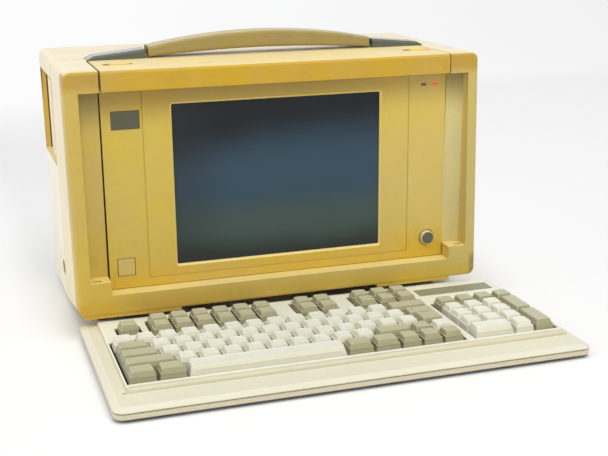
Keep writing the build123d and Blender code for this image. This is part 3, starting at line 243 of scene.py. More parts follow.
class Finish(Net):
    """One material with its surface shader."""

    def __init__(self, name):
        self.material = bpy.data.materials.new("finish_" + name)
        super().__init__(self.material)
        self.surface = self.node("ShaderNodeBsdfPrincipled")
        self.output = self.node("ShaderNodeOutputMaterial", None, {0: self.surface})

    def set(self, **sockets):
        """Constants and links of the surface; underscores stand for spaces."""
        for key, value in sockets.items():
            self.feed(self.surface.socket.node.inputs[key.replace("_", " ")], value)
        return self.material

    def weathered(self, colour, cloud=0.06, grain=0.03 * MM, rough=0.5, dirt=0.0):
        """Old plastic over a colour: clouds, specks, a film of dirt, fine grain and polished wear."""
        patches = self.noise(PATCHES, 4.0, 0.6).ramp(0.3, 0.7) - 0.5
        specks = self.noise(SPECKS, 2.0, 0.5).ramp(0.35, 0.75)
        shade = self.node("ShaderNodeHueSaturation", None,
                          {"Saturation": 1 + cloud * PATCH_YELLOWING * patches,
                           "Value": 1 + cloud * patches - cloud * SPECK_SHARE * specks, "Color": colour})
        if dirt:
            film = self.noise(FILM, 5.0, 0.7).ramp(0.52, 0.78) * dirt
            shade = self.mix(film, shade, FILM_COLOUR)
        polished = self.noise(WEAR, 3.0, 0.6).ramp(0.3, 0.8)
        texture = self.noise(GRAIN, 2.0, 0.6)
        return self.set(Base_Color=shade, Roughness=rough - POLISH * polished,
                        Normal=self.bump(texture, grain))


# %% [markdown]
# ## Moulded plastic
# Most parts are moulded plastic that light has yellowed, more on one side than on another. The three
# colours also carry painted light: on many parts the top is written lighter and the front and sides darker,
# a painted highlight and painted shade. Each face could have a material of its own, but the rounded edges
# would then show a hard line. So one material mixes three colours by the way the surface faces: one for the
# front, one for the top and one for the sides.


# %% Moulded plastic
def moulded(name, front, top, side, edge=(0.45, 0.8), **look):
    """Aged plastic with colours by facing, partly yellowing and partly painted light; edge says how far a
    surface turns to the front before it takes the front colour.
    """
    finish = Finish(name)
    north, up = finish.split(finish.facing(), "YZ")
    # Side, top and front colours: partly yellowing, partly painted highlight and painted shade.
    colour = finish.mix(up.ramp(0.3, 0.85), tint(*side), tint(*top))
    colour = finish.mix((0 - north).ramp(*edge), colour, tint(*front))
    return finish.weathered(colour, **look)


cap_plastic = moulded("cap_plastic", (199, 159, 38), (242, 222, 160), (236, 216, 160),
                      edge=(0.35, 0.62), dirt=0.2)
# The grip's lighter top and darker sides are painted highlight and painted shade.
grip_plastic = moulded("grip_plastic", (160, 141, 84), (194, 184, 142), (136, 118, 70),
                       rough=0.55, dirt=0.3)
# The wedges' pale tops against dark fronts and sides are painted light and painted shade.
wedge_plastic = moulded("wedge_plastic", (88, 91, 80), (178, 180, 176), (98, 104, 104),
                        edge=(0.3, 0.6), cloud=0.04, dirt=0.15)
latch_plastic = moulded("latch_plastic", (238, 206, 108), (240, 210, 118), (226, 190, 92), cloud=0.05)
cover_plastic = moulded("cover_plastic", (238, 222, 182), (242, 228, 194), (241, 226, 190), cloud=0.05)
drive_plastic = moulded("drive_plastic", (214, 192, 130), (226, 208, 150), (222, 206, 156), cloud=0.05)
print("case plastics", [material.name for material in (cap_plastic, grip_plastic, wedge_plastic,
                                                       latch_plastic, cover_plastic, drive_plastic)])

# %% [markdown]
# The small parts are of the same kind. Keys come in two colours, white for letters and digits and grey
# for the rest. Buttons, plates and feet are darker, and rubber is rough, since it has no shine at all.

# %% Plastic of keys, buttons and plates
# On the caps and the small parts the top is written lighter than the front and sides: painted highlight and
# painted shade.
white_caps = moulded("white_caps", (222, 218, 194), (235, 236, 223), (218, 216, 198),
                     cloud=0.03, rough=0.45)
grey_caps = moulded("grey_caps", (158, 151, 114), (190, 189, 159), (156, 150, 120),
                    cloud=0.04, rough=0.48)
plate_plastic = moulded("plate_plastic", (146, 146, 120), (146, 146, 122), (136, 136, 112), cloud=0.05)
badge_plastic = moulded("badge_plastic", (84, 82, 60), (90, 86, 66), (76, 72, 54),
                        cloud=0.08, grain=0.01 * MM)
black_plastic = moulded("black_plastic", (30, 30, 30), (36, 36, 36), (30, 30, 30),
                        cloud=0.1, grain=0.05 * MM)
well_plastic = moulded("well_plastic", (40, 37, 28), (52, 48, 38), (40, 37, 28), cloud=0.1)
rubber = moulded("rubber", (26, 26, 25), (34, 34, 33), (26, 26, 25),
                 cloud=0.15, grain=0.08 * MM, rough=0.85)
button_plastic = moulded("button_plastic", (90, 93, 76), (106, 108, 92), (82, 84, 70), cloud=0.05)
square_plastic = moulded("square_plastic", (206, 182, 104), (226, 204, 128), (176, 150, 80), cloud=0.05)
collar_plastic = moulded("collar_plastic", (220, 202, 142), (236, 222, 170), (206, 188, 130), cloud=0.04)
print("materials so far", len(bpy.data.materials))

# %% [markdown]
# ## The front of the case
# The big shells have aged unevenly. The front frame is ochre, deepest along its upper edge and on its lip,
# and paler to the right, where less light reached it. The two troughs beside the screen are paler still,
# with a dark shade under the cap. Soft masks made from the place on the part lay these zones out.

# %% Colours of the case's front
OCHRE_LEFT, OCHRE_RIGHT = tint(202, 174, 80), tint(200, 178, 102)
LIP_LEFT, LIP_RIGHT = tint(200, 164, 60), tint(204, 173, 72)
BROW = tint(188, 150, 44)
TROUGH_LEFT, TROUGH_RIGHT = tint(204, 178, 88), tint(218, 202, 140)
TROUGH_SHADE = tint(128, 108, 48)
RIGHTWARD = (CASE_MIDDLE_X - 120 * MM, CASE_MIDDLE_X + 165 * MM)
LIP_BAND = (27 * MM, 40 * MM)
TOP_BAND = (CASE_HIGH.z - 22 * MM, CASE_HIGH.z - 10 * MM)
SHADE_BAND = (178 * MM, 216 * MM)


def case_front(finish, across, high):
    """Ochre that pales to the right, deeper on the lip and along the top."""
    rightward = across.ramp(*RIGHTWARD)
    front = finish.mix(rightward, OCHRE_LEFT, OCHRE_RIGHT)
    lip = finish.mix(rightward, LIP_LEFT, LIP_RIGHT)
    front = finish.mix(1 - high.ramp(*LIP_BAND), front, lip)
    return finish.mix(high.ramp(*TOP_BAND), front, BROW)


def troughs(finish, across, high):
    """The troughs beside the screen, shaded under the cap."""
    recess = finish.mix(across.ramp(*RIGHTWARD), TROUGH_LEFT, TROUGH_RIGHT)
    return finish.mix(0.8 * high.ramp(*SHADE_BAND), recess, TROUGH_SHADE)


print("lip up to", round(LIP_BAND[1] / MM), "mm, brow from", round(TOP_BAND[0] / MM), "mm up")

# %% [markdown]
# ## Marks on the case
# The slot that each ledge has for a hook is cut into the measured shell. Here only its inside is darkened,
# as painted shade. Two more marks are painted on: a darker olive patch on the lower right corner, and a
# dark line of painted shade between two strips of plastic at the back of the open bay. They could be cut
# into the shells too, but they have so little depth that a change of colour looks the same and adds no
# faces.

# %% Marks on the case
HOOK_SLOT_X = (CASE_MIDDLE_X - 173.5 * MM, CASE_MIDDLE_X + 176.2 * MM)
HOOK_SLOT_HALF_WIDE, HOOK_SLOT_HALF_DEEP, HOOK_SLOT_HALF_TALL = 3.8 * MM, 1.2 * MM, 3.6 * MM
HOOK_SLOT_BACK = 7 * MM
LEDGE_Z = 51.6 * MM
# The first colour is painted shade inside the hook slots; the second darkens the lower right corner.
SLOT_SHADE, CORNER_PATCH = tint(70, 54, 24), tint(110, 104, 58)
CORNER_PATCH_Z = 32 * MM
BAY_OCHRE, BAY_CREAM, BAY_GAP_SHADE = tint(222, 184, 88), tint(240, 224, 186), tint(96, 66, 22)


def bay_back(finish, front, across, high):
    """Paint the back of the open bay: ochre, a dark line of painted shade in the gap, then cream."""
    inward = across - CASE_LOW.x
    in_bay = inward.near(11 * MM, 9 * MM, 1 * MM) * high.ramp(130 * MM, 140 * MM)
    strip = finish.mix(inward.ramp(6.0 * MM, 6.8 * MM), BAY_OCHRE, BAY_CREAM)
    # The dark line is painted shade in the gap beside the cream strip.
    strip = finish.mix(inward.near(5.6 * MM, 0.5 * MM, 0.4 * MM), strip, BAY_GAP_SHADE)
    return finish.mix(in_bay, front, strip)


def corner_patched(finish, colour, across, depth, high):
    """Darken the lower right corner of the front with a patchy olive."""
    corner = high.near(CORNER_PATCH_Z, 7 * MM, 8 * MM) * across.ramp(CASE_HIGH.x - 9 * MM, CASE_HIGH.x - 3 * MM)
    corner = corner * (1 - depth.ramp(6 * MM, 11 * MM))
    return finish.mix(corner * finish.noise(90.0, 4.0, 0.65).ramp(0.3, 0.6) * 0.7, colour, CORNER_PATCH)


def slotted(finish, colour, across, depth, high):
    """Darken the inside of the hook slot in each ledge: painted shade."""
    for middle in HOOK_SLOT_X:
        slot = across.near(middle, HOOK_SLOT_HALF_WIDE, 0.4 * MM)
        slot = slot * high.near(LEDGE_Z - 4 * MM, HOOK_SLOT_HALF_TALL, 0.3 * MM)
        slot = slot * depth.near(HOOK_SLOT_BACK, HOOK_SLOT_HALF_DEEP, 0.3 * MM)
        colour = finish.mix(slot, colour, SLOT_SHADE)
    return colour


print("hook slots at", [round(x / MM, 1) for x in HOOK_SLOT_X], "mm")

# %% [markdown]
# ## The two shells
# On the front of the case the colours above hold. Its outside stayed cream, but for a yellowed rim about
# two centimetres wide along the front. Both shells come from one function, so that they match at the seam:
# only the front one has the rim, and only the rear one has the open bay.

# %% The two shells of the case
RIM_DEPTH = (16 * MM, 31 * MM)
TROUGH_DEPTH = (5 * MM, 8 * MM)
FOOT_BAND, ROOF_BAND, LEDGE_BAND = (20 * MM, 90 * MM), (130 * MM, 220 * MM), (90 * MM, 180 * MM)
LEDGE, RIM_TOP = tint(242, 222, 140), tint(240, 218, 146)
SIDE_SKIN = (CASE_HIGH.x - CASE_LOW.x) / 2 - 8 * MM


def shell(name, skin, roof, foot, rim):
    """A shell of the case: with rim the front one, without it the rear one with the open bay."""
    finish = Finish(name)
    across, back, high = finish.split(finish.place())
    north, up = finish.split(finish.facing(), "YZ")
    depth = back - CASE_LOW.y
    rim_colour = case_front(finish, across, high)
    front = finish.mix(depth.ramp(*TROUGH_DEPTH), rim_colour, troughs(finish, across, high))
    side = finish.mix(high.ramp(*FOOT_BAND), tint(*foot), tint(*skin))
    side = finish.mix(high.ramp(*ROOF_BAND), side, tint(*roof))
    above = finish.mix(high.ramp(*LEDGE_BAND), LEDGE, tint(*roof))
    if rim:
        outside = (across - CASE_MIDDLE_X).size().ramp(SIDE_SKIN, SIDE_SKIN + 6 * MM)
        side = finish.mix(outside * depth.ramp(*RIM_DEPTH), rim_colour, side)
        above = finish.mix(depth.ramp(4 * MM, 14 * MM), RIM_TOP, above)
    else:
        front = bay_back(finish, front, across, high)
    colour = finish.mix(up.ramp(0.35, 0.85), side, above)
    colour = finish.mix((0 - north).ramp(0.4, 0.7), colour, front)
    colour = corner_patched(finish, colour, across, depth, high)
    colour = slotted(finish, colour, across, depth, high)
    return finish.weathered(colour, dirt=0.12)


front_plastic = shell("front_plastic", (243, 229, 194), (245, 231, 200), (238, 225, 187), True)
rear_plastic = shell("rear_plastic", (250, 243, 227), (243, 230, 200), (242, 232, 206), False)
print("front shell has", len(front_plastic.node_tree.nodes), "nodes")

# %% [markdown]
# ## The panel round the screen
# The panel is a shade yellower than the case. Its rounded edges are written paler, a painted highlight that
# draws a pale line round the screen, and its top under the cap takes painted shade. That line could be a
# thin extra part, but the way a surface faces already tells where an edge is, so a mask does it.

# %% Panel round the screen
PANEL_LEFT, PANEL_RIGHT, PANEL_FOOT = tint(208, 181, 76), tint(214, 188, 96), tint(212, 178, 68)
PANEL_SHADE = tint(158, 128, 50)
# Painted highlight for the rounded edges, paler where they face up.
PANEL_EDGE_HIGHLIGHT, PANEL_EDGE_TOP_HIGHLIGHT = tint(230, 204, 112), tint(240, 216, 134)
PANEL_FOOT_BAND, PANEL_SHADE_BAND = (50 * MM, 80 * MM), (184 * MM, 214 * MM)


def panel():
    """The panel: ochre to the left, paler to the right, with a painted highlight along its edges and
    painted shade under the cap.
    """
    finish = Finish("panel_plastic")
    across, high = finish.split(finish.place(), "XZ")
    north, up = finish.split(finish.facing(), "YZ")
    rightward = across.ramp(CASE_MIDDLE_X + 20 * MM, CASE_MIDDLE_X + 160 * MM)
    front = finish.mix(rightward, PANEL_LEFT, PANEL_RIGHT)
    front = finish.mix(1 - high.ramp(*PANEL_FOOT_BAND), front, PANEL_FOOT)
    # Painted shade under the cap, deeper to the left.
    under_cap = high.ramp(*PANEL_SHADE_BAND) * (0.85 - 0.25 * rightward)
    front = finish.mix(under_cap, front, PANEL_SHADE)
    # Edges that turn away from the front take the painted highlight.
    edge = finish.mix(up.ramp(0.3, 0.85), PANEL_EDGE_HIGHLIGHT, PANEL_EDGE_TOP_HIGHLIGHT)
    colour = finish.mix((0 - north).ramp(0.8, 0.97), edge, front)
    return finish.weathered(colour, dirt=0.1)


panel_plastic = panel()
print("panel has", len(panel_plastic.node_tree.nodes), "nodes")

# %% [markdown]
# ## The keyboard's shells
# The keyboard was kept in the dark against the screen, so it is still nearly white. Its raised deck is
# written paler than the border, painted light that lifts the shade the case throws on it. The slope in
# front of the keys is a darker tan, and the joint between the two halves shows as a thin dark line all the
# way round. The sides and front are written a little darker than the top, and the underside dark: painted
# shade. Both halves share one material, so the line sits on both.

# %% Keyboard shells
# The deck is written paler than the border as painted light; the sides and front are darker as painted
# shade.
BORDER, DECK_PAINTED_LIGHT, SLOPE_TAN = tint(229, 225, 203), tint(240, 241, 226), tint(206, 194, 158)
BOARD_SIDE, BOARD_FRONT, BOARD_FOOT = tint(218, 209, 184), tint(214, 208, 182), tint(212, 202, 172)
# The joint is a dark line; the underside colour is painted shade.
JOINT, UNDERSIDE_PAINTED_SHADE = tint(92, 80, 48), tint(60, 54, 44)
SLOPE_Y = KEYBOARD_FRONT_Y + 33.4 * MM
DECK_RISE = (12 * MM, 14 * MM)
SEAM_Z = 7.8 * MM


def keyboard_shells():
    """Nearly white shells with a deck painted bright as painted light, a darker tan slope in front of it, a
    dark joint, and painted shade on the sides, front and underside.
    """
    finish = Finish("keyboard_plastic")
    back, high = finish.split(finish.place(), "YZ")
    north, up = finish.split(finish.facing(), "YZ")
    # The deck is painted paler than the border: painted light.
    above = finish.mix(high.ramp(*DECK_RISE), BORDER, DECK_PAINTED_LIGHT)
    slope = back.near(SLOPE_Y, 2 * MM, 1.2 * MM) * high.ramp(11.5 * MM, 12.5 * MM)
    # A darker tan band on the slope in front of the keys.
    above = finish.mix(slope * 0.75, above, SLOPE_TAN)
    colour = finish.mix(up.ramp(0.3, 0.85), BOARD_SIDE, above)
    ahead = finish.mix(high.ramp(8 * MM, 9 * MM), BOARD_FOOT, BOARD_FRONT)
    colour = finish.mix((0 - north).ramp(0.45, 0.8), colour, ahead)
    joint = high.near(SEAM_Z, 0.22 * MM, 0.2 * MM) * (1 - up.ramp(0.6, 0.9))
    colour = finish.mix(joint, colour, JOINT)
    # Down-facing surfaces are painted dark: painted shade under the keyboard.
    colour = finish.mix((0 - up).ramp(0.6, 0.9), colour, UNDERSIDE_PAINTED_SHADE)
    return finish.weathered(colour, cloud=0.04, dirt=0.08)


keyboard_plastic = keyboard_shells()
print("worn slope", round((SLOPE_Y - KEYBOARD_FRONT_Y) / MM, 1), "mm behind the keyboard's front edge")

# %% [markdown]
# ## Sheet steel
# The back panel, the tray and the housings inside are rolled steel with a coat of zinc. Rolling leaves
# fine streaks along one direction, and the zinc is cloudy. Stretched noise makes the streaks, which vary
# the roughness. The clouds change the colour only a little, since bare metal has no dyes.

# %% Sheet steel
STREAK_STRETCH = (40, 900, 900)


def zinc(name, colour=(150, 152, 150), rough=0.38):
    """Rolled sheet with a cloudy zinc coat."""
    finish = Finish(name)
    stretched = finish.node("ShaderNodeMapping", None,
                            {"Vector": finish.place(), "Scale": STREAK_STRETCH})
    streaks = finish.noise(1.0, 3.0, 0.6, vector=stretched)
    clouds = finish.noise(70.0, 3.0, 0.6).ramp(0.3, 0.7)
    base = finish.mix(clouds * 0.4, tint(*colour), tint(*[part * 0.86 for part in colour]))
    return finish.set(Base_Color=base, Metallic=0.9, Roughness=rough + 0.16 * streaks,
                      Normal=finish.bump(streaks, 0.02 * MM))


steel = zinc("steel")
bright_steel = zinc("bright_steel", (190, 190, 186), 0.26)
drive_metal = zinc("drive_metal", (128, 130, 132), 0.45)
print("metals", steel.name, bright_steel.name, drive_metal.name)

# %% [markdown]
# ## Circuit boards
# A board is glass fibre under green lacquer, with copper runs that stand up slightly beneath it. The boards
# are shut in the case, so a brick pattern is enough for the runs. The two expansion cards are one piece
# with their brackets, so the brackets take this finish too.


# %% Circuit boards
def circuit(name):
    """Green lacquered board with faint copper runs under the lacquer."""
    finish = Finish(name)
    runs = finish.node("ShaderNodeTexBrick", {"offset": 0.5},
                       {"Vector": finish.place(), "Scale": 120.0, "Mortar Size": 0.06}, result="Fac")
    base = finish.mix(runs * 0.7, tint(24, 78, 46), tint(58, 116, 70))
    return finish.set(Base_Color=base, Roughness=0.35 + 0.2 * finish.noise(300.0),
                      Normal=finish.bump(runs, 0.04 * MM))


board_lacquer = circuit("board_lacquer")
print("board lacquer has", len(board_lacquer.node_tree.nodes), "nodes")

# %% [markdown]
# ## Small lenses
# The two indicators are coloured plastic lenses, one lit and one dark, and the tube behind the screen is
# glass. A clear coat over a slightly uneven colour gives their shine. The lit one also sends out a
# little light of its own colour.


# %% Indicator lenses and the tube
def lens(name, colour, glow):
    """Small coloured lens; glow is how strongly it is lit."""
    finish = Finish(name)
    depth = finish.noise(900.0, 2.0)
    brighter = [min(255, part * 1.25) for part in colour]
    base = finish.mix(depth * 0.5, tint(*colour), tint(*brighter))
    finish.set(Emission_Color=base, Emission_Strength=glow)
    return finish.set(Base_Color=base, Roughness=0.22 + 0.1 * depth, Coat_Weight=0.6)


red_lens = lens("red_lens", (205, 14, 18), 0.55)
dark_lens = lens("dark_lens", (52, 34, 12), 0.0)
tube_glass = lens("tube_glass", (214, 220, 214), 0.0)
print("lenses", red_lens.name, dark_lens.name, tube_glass.name)

# %% [markdown]
# ## The screen
# An unlit liquid-crystal screen is nearly black in one part, and bluish or greenish where the eye meets it
# at another angle. A material that follows the eye would be much heavier, so bands of colour are laid
# over the height instead, with soft noise to bend them. The matt front film keeps reflections dim.

# %% The screen
SCREEN_FOOT, SCREEN_GREEN, SCREEN_BLUE = tint(44, 49, 48), tint(66, 83, 80), tint(52, 75, 91)
SCREEN_BLACK, SCREEN_LEFT = tint(22, 27, 31), tint(42, 47, 48)


def screen_finish(name):
    """The unlit screen: black above, a blue-grey haze at mid height, greener below."""
    finish = Finish(name)
    across, high = finish.split(finish.place(), "XZ")
    clouds = finish.noise(9.0, 3.0, 0.55)
    upward = (high - SCREEN_LOW.z) / (SCREEN_HIGH.z - SCREEN_LOW.z) + 0.22 * (clouds - 0.5)
    rightward = (across - SCREEN_LOW.x) / (SCREEN_HIGH.x - SCREEN_LOW.x)
    base = finish.mix(upward.ramp(0.0, 0.2), SCREEN_FOOT, SCREEN_GREEN)
    base = finish.mix(upward.ramp(0.24, 0.46), base, SCREEN_BLUE)
    base = finish.mix((upward - 0.1 * rightward).ramp(0.5, 0.84), base, SCREEN_BLACK)
    base = finish.mix((1 - rightward).ramp(0.7, 1.0) * 0.5, base, SCREEN_LEFT)
    sparkle = finish.noise(3000.0, 2.0)
    return finish.set(Base_Color=base, Roughness=0.4 + 0.12 * clouds, Specular_IOR_Level=0.25,
                      Normal=finish.bump(sparkle, 0.01 * MM))


screen_face = screen_finish("screen_face")
print("screen is", round((SCREEN_HIGH.z - SCREEN_LOW.z) / MM, 1), "mm high")

# %% [markdown]
# ## Finishes on the measured parts
# Where the measured solid already has the right shape it stays and only takes a material. The table says
# which finish each one gets.

# %% Give the measured parts their finish
FINISHES = [
    (front_plastic, ["front_housing"]),
    (rear_plastic, ["rear_housing"]),
    (cover_plastic, ["side_cover_left"]),
    (cap_plastic, ["display_cap"]),
    (panel_plastic, ["display_bezel"]),
    (square_plastic, ["square_button"]),
    (drive_plastic, ["display_back_shell", "floppy_drive", "floppy_eject_button"]),
    (grip_plastic, ["handle_grip"]),
    (wedge_plastic, ["handle_end_left", "handle_end_right"]),
    (latch_plastic, ["latch_slider_left", "latch_slider_right"]),
    (keyboard_plastic, ["keyboard_top_shell", "keyboard_bottom_shell"]),
    (plate_plastic, ["keyboard_label_plate"]),
    (badge_plastic, ["badge_plate"]),
    (black_plastic, ["power_inlet_and_switch_frame", "power_switch_rocker", "fan_frame", "fan_rotor",
                      "speaker"]),
    (rubber, ["rubber_feet", "keyboard_feet"]),
    (button_plastic, ["round_button"]),
    (collar_plastic, ["button_collar"]),
    (steel, ["rear_panel", "chassis_tray", "power_supply", "drive_shelf", "slot_covers", "lcd_frame"]),
    (bright_steel, ["hinge_pins", "case_screws", "port_connectors"]),
    (drive_metal, ["hard_drive"]),
    (board_lacquer, ["motherboard", "expansion_cards", "inverter_board"]),
    (well_plastic, ["keyboard_circuit_board"]),
    (red_lens, ["indicator_red"]),
    (dark_lens, ["indicator_dark"]),
    (screen_face, ["lcd_glass"]),
    (tube_glass, ["backlight_tube"]),
]


def coat(piece, material):
    """Put one material in every slot of a piece."""
    slots = piece.material_slots
    if not slots:
        piece.data.materials.append(material)
    for slot in slots:
        slot.material = material


for material, parts in FINISHES:
    for part in parts:
        coat(nodes[part], material)
print("finished", sum(len(parts) for material, parts in FINISHES), "measured parts")

# %% [markdown]
# ## Key caps
# A cap is a tapered box with soft corners. Its top sits a little back from its base and sinks towards the
# middle of its width. The frame holds plain caps. A bevel on those would leave the tops flat, so each cap
# is measured there and rebuilt as a smooth skin, a stack of rounded outlines. This is one outline.

# %% Sizes of a key cap and one outline
CAP_TAPER_SIDE = 2.7 * MM
CAP_TAPER_DEPTH = 2.0 * MM
CAP_BACK = 1.5 * MM
CAP_CORNER_FOOT = 0.9 * MM
CAP_CORNER_HEAD = 1.8 * MM
CORNER_STEPS = 4
CORNER_ROOM = 2.01  # a corner stays just under half of a side, so that no two points meet


def rounded_outline(x0, x1, y0, y1, corner, z):
    """Points of a rectangle with round corners, counter-clockwise."""
    corner = min(corner, (x1 - x0) / CORNER_ROOM, (y1 - y0) / CORNER_ROOM)
    points = []
    middles = [(x1 - corner, y0 + corner, -90), (x1 - corner, y1 - corner, 0),
               (x0 + corner, y1 - corner, 90), (x0 + corner, y0 + corner, 180)]
    for mx, my, start in middles:
        for step in range(CORNER_STEPS + 1):
            turn = math.radians(start + 90 * step / CORNER_STEPS)
            points.append(Vector((mx + corner * math.cos(turn), my + corner * math.sin(turn), z)))
    return points


print("an outline has", len(rounded_outline(0, 1, 0, 1, 0.1, 0)), "points")

# %% [markdown]
# The walls rise from the lower edge and lean inwards, with a small soft shoulder at the top. Then ever
# smaller outlines cross the top, and they sink towards its middle to form the scoop. On a wide key such as
# the space bar the whole middle is evenly low, and the top rises only near the ends.

# %% The walls and the scooped top of a cap
CAP_SHOULDER = 0.5 * MM
CAP_SCOOP = 0.75 * MM
SCOOP_SPAN = 14 * MM
FLAT_MIDDLE_FROM = 12 * MM
TOP_STEPS = (0.25, 0.5, 0.75, 0.94)


def wall_outlines(low, high, start):
    """Outlines from the lower edge up to the rim, and the sides of that rim."""
    tall = high.z - low.z
    levels = [(start, 0.0), (0.5 * start + 0.35, 0.0), (0.5 * start + 0.4, 0.0),
              (1.0 - CAP_SHOULDER / tall, 0.0),
              (1.0 - 0.25 * CAP_SHOULDER / tall, 0.3 * CAP_SHOULDER), (1.0, CAP_SHOULDER)]
    outlines, rim = [], None
    for share, inset in levels:
        side, depth = CAP_TAPER_SIDE * share + inset, CAP_TAPER_DEPTH * share + inset
        corner = CAP_CORNER_FOOT + (CAP_CORNER_HEAD - CAP_CORNER_FOOT) * share
        back = CAP_BACK * share
        rim = (low.x + side, high.x - side, low.y + depth + back, high.y - depth + back)
        outlines.append(rounded_outline(*rim, corner, low.z + tall * share))
    return outlines, rim


def top_outlines(rim, z):
    """Ever smaller outlines across the top."""
    x0, x1, y0, y1 = rim
    half_span, half_deep = min(x1 - x0, SCOOP_SPAN) / 2, (y1 - y0) / 2
    return [rounded_outline(x0 + half_span * share, x1 - half_span * share, y0 + half_deep * share,
                            y1 - half_deep * share, CAP_CORNER_HEAD * (1 - share), z)
            for share in TOP_STEPS]


def sink(outlines, rim):
    """Lower the points of the top towards the middle of its width."""
    middle, reach = (rim[0] + rim[1]) / 2, (rim[1] - rim[0]) / 2
    half_span = min(rim[1] - rim[0], SCOOP_SPAN) / 2
    for outline in outlines:
        for point in outline:
            sideways = abs(point.x - middle)
            edge = sideways / reach
            if reach > FLAT_MIDDLE_FROM:
                edge = max(0.0, (sideways - (reach - half_span)) / half_span)
            point.z -= CAP_SCOOP * (1 - edge * edge)


# %% [markdown]
# A moulded cap is a cup, open below, where its stem meets the switch. The skin gets such a hollow too: a
# full block would look right from above, but would cut into the switch when the key is pressed.

# %% A whole cap
CAP_WALL_SHARE = 0.08
CAP_HOLLOW_SHARE = 0.6


def join(mesh, under, over):
    """Faces between two outlines."""
    for i in range(len(under)):
        j = (i + 1) % len(under)
        mesh.faces.new((under[i], under[j], over[j], over[i]))


def cap_skin(mesh, low, high, start=0.0):
    """Add one key cap between two corners; start is the share of its height left open below."""
    outlines, rim = wall_outlines(low, high, start)
    walls = len(outlines)
    outlines += top_outlines(rim, high.z)
    sink(outlines[walls - 1:], rim)
    skins = [[mesh.verts.new(point) for point in outline] for outline in outlines]
    for under, over in zip(skins, skins[1:]):
        join(mesh, under, over)
    mesh.faces.new(skins[-1])
    tall = high.z - low.z
    middle = Vector(((low.x + high.x) / 2, (low.y + high.y) / 2, low.z + tall * start))
    rise = Vector((0, CAP_BACK, tall)) * CAP_HOLLOW_SHARE * (1 - start)
    inner = [mesh.verts.new(vertex.co.lerp(middle, CAP_WALL_SHARE)) for vertex in skins[0]]
    roof = [mesh.verts.new(vertex.co + rise) for vertex in inner]
    join(mesh, inner, skins[0])
    join(mesh, roof, inner)
    mesh.faces.new(list(reversed(roof)))


# %% [markdown]
# One node of the frame holds a whole row of keys. To rebuild the caps, the row is taken apart: points that
# hang together by edges are one solid, and its two extreme corners say where the cap goes.


# %% Take a row apart, and turn a skin into a piece
def solids_of(node):
    """Corner pairs of the separate solids in one measured node."""
    mesh = bmesh.new()
    mesh.from_mesh(node.data)
    bmesh.ops.remove_doubles(mesh, verts=mesh.verts, dist=1e-6)
    left = set(mesh.verts)
    boxes = []
    while left:
        stack = [left.pop()]
        members = []
        while stack:
            vertex = stack.pop()
            members.append(vertex.co.copy())
            for edge in vertex.link_edges:
                other = edge.other_vert(vertex)
                if other in left:
                    left.remove(other)
                    stack.append(other)
        boxes.append(tuple(Vector([pick(point[i] for point in members) for i in range(3)])
                           for pick in (min, max)))
    mesh.free()
    return boxes


def place_mesh(mesh, name, material):
    """Turn a bmesh into an object in the scene, smooth all over."""
    data = bpy.data.meshes.new(name)
    mesh.to_mesh(data)
    mesh.free()
    data.materials.append(material)
    for polygon in data.polygons:
        polygon.use_smooth = True
    piece = bpy.data.objects.new(name, data)
    bpy.context.scene.collection.objects.link(piece)
    return piece


print("space bar is", len(solids_of(nodes["key_space"])), "solid")

# %% [markdown]
# Now every row is rebuilt, and each new piece rides on the body of the row that it stands for. The enter
# key is bent, so it takes three skins: the tall right-hand part, the wide head, which is open low down so
# that none of its walls crosses the switch, and a narrow shoulder that carries the head's left side down
# to the deck.

# %% Rebuild every cap
SKIRT_Z = 13.2 * MM
CREASE = math.radians(50)
ENTER_STEP = 4.76 * MM
ENTER_HEAD_DEEP = 18 * MM
ENTER_HEAD_START = 0.64
ENTER_SHOULDER_REACH = 4.4 * MM
ENTER_SHOULDER_DROP = 1.0 * MM
WHITE_ROWS = ("keys_number_row", "keys_upper_row", "keys_home_row", "keys_lower_row", "key_space",
              "keys_pad_digits")


def enter_skins(mesh, low, high):
    """The bent enter key."""
    cap_skin(mesh, Vector((low.x + ENTER_STEP, low.y, SKIRT_Z)), high)
    foot = Vector((low.x, high.y - ENTER_HEAD_DEEP, SKIRT_Z))
    cap_skin(mesh, foot, high, start=ENTER_HEAD_START)
    cap_skin(mesh, foot, Vector((low.x + ENTER_STEP + ENTER_SHOULDER_REACH, high.y,
                                 high.z - ENTER_SHOULDER_DROP)))


cap_nodes = [name for name in nodes if name.startswith("key") and name + "_body" in frame["bodies"]]
for name in cap_nodes:
    mesh = bmesh.new()
    if name == "key_enter":
        enter_skins(mesh, *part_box(name))
    else:
        for low, high in solids_of(nodes[name]):
            cap_skin(mesh, Vector((low.x, low.y, SKIRT_Z)), high)
    bmesh.ops.recalc_face_normals(mesh, faces=mesh.faces)
    piece = place_mesh(mesh, "caps_" + name, white_caps if name in WHITE_ROWS else grey_caps)
    piece.data.set_sharp_from_angle(angle=CREASE)
    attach(piece, name + "_body")
    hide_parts(name)
print("rebuilt", len(cap_nodes), "groups of caps")

# %% [markdown]
# ## Floor and backdrop
# Product pictures are taken on a sheet of paper that runs up into the background, so that no edge shows.
# The same sheet stands here. More light would whiten it, but it would bleach the object too. So far away
# and beside the object the paper turns to white for rays that show it, dimming a little to the right as
# painted shade, while it still lights the object as paper does. Near the object it stays a lit surface that
# keeps the shadow.


# %% Floor material
def seen_directly(net):
    """1 for rays that show the backdrop itself, 0 for those that light the object."""
    path = net.node("ShaderNodeLightPath").socket.node
    camera_ray, glossy, through = [Varying(net, path.outputs[key]) for key in
                                   ("Is Camera Ray", "Is Glossy Ray", "Is Transmission Ray")]
    return camera_ray.at_least(glossy).at_least(through)


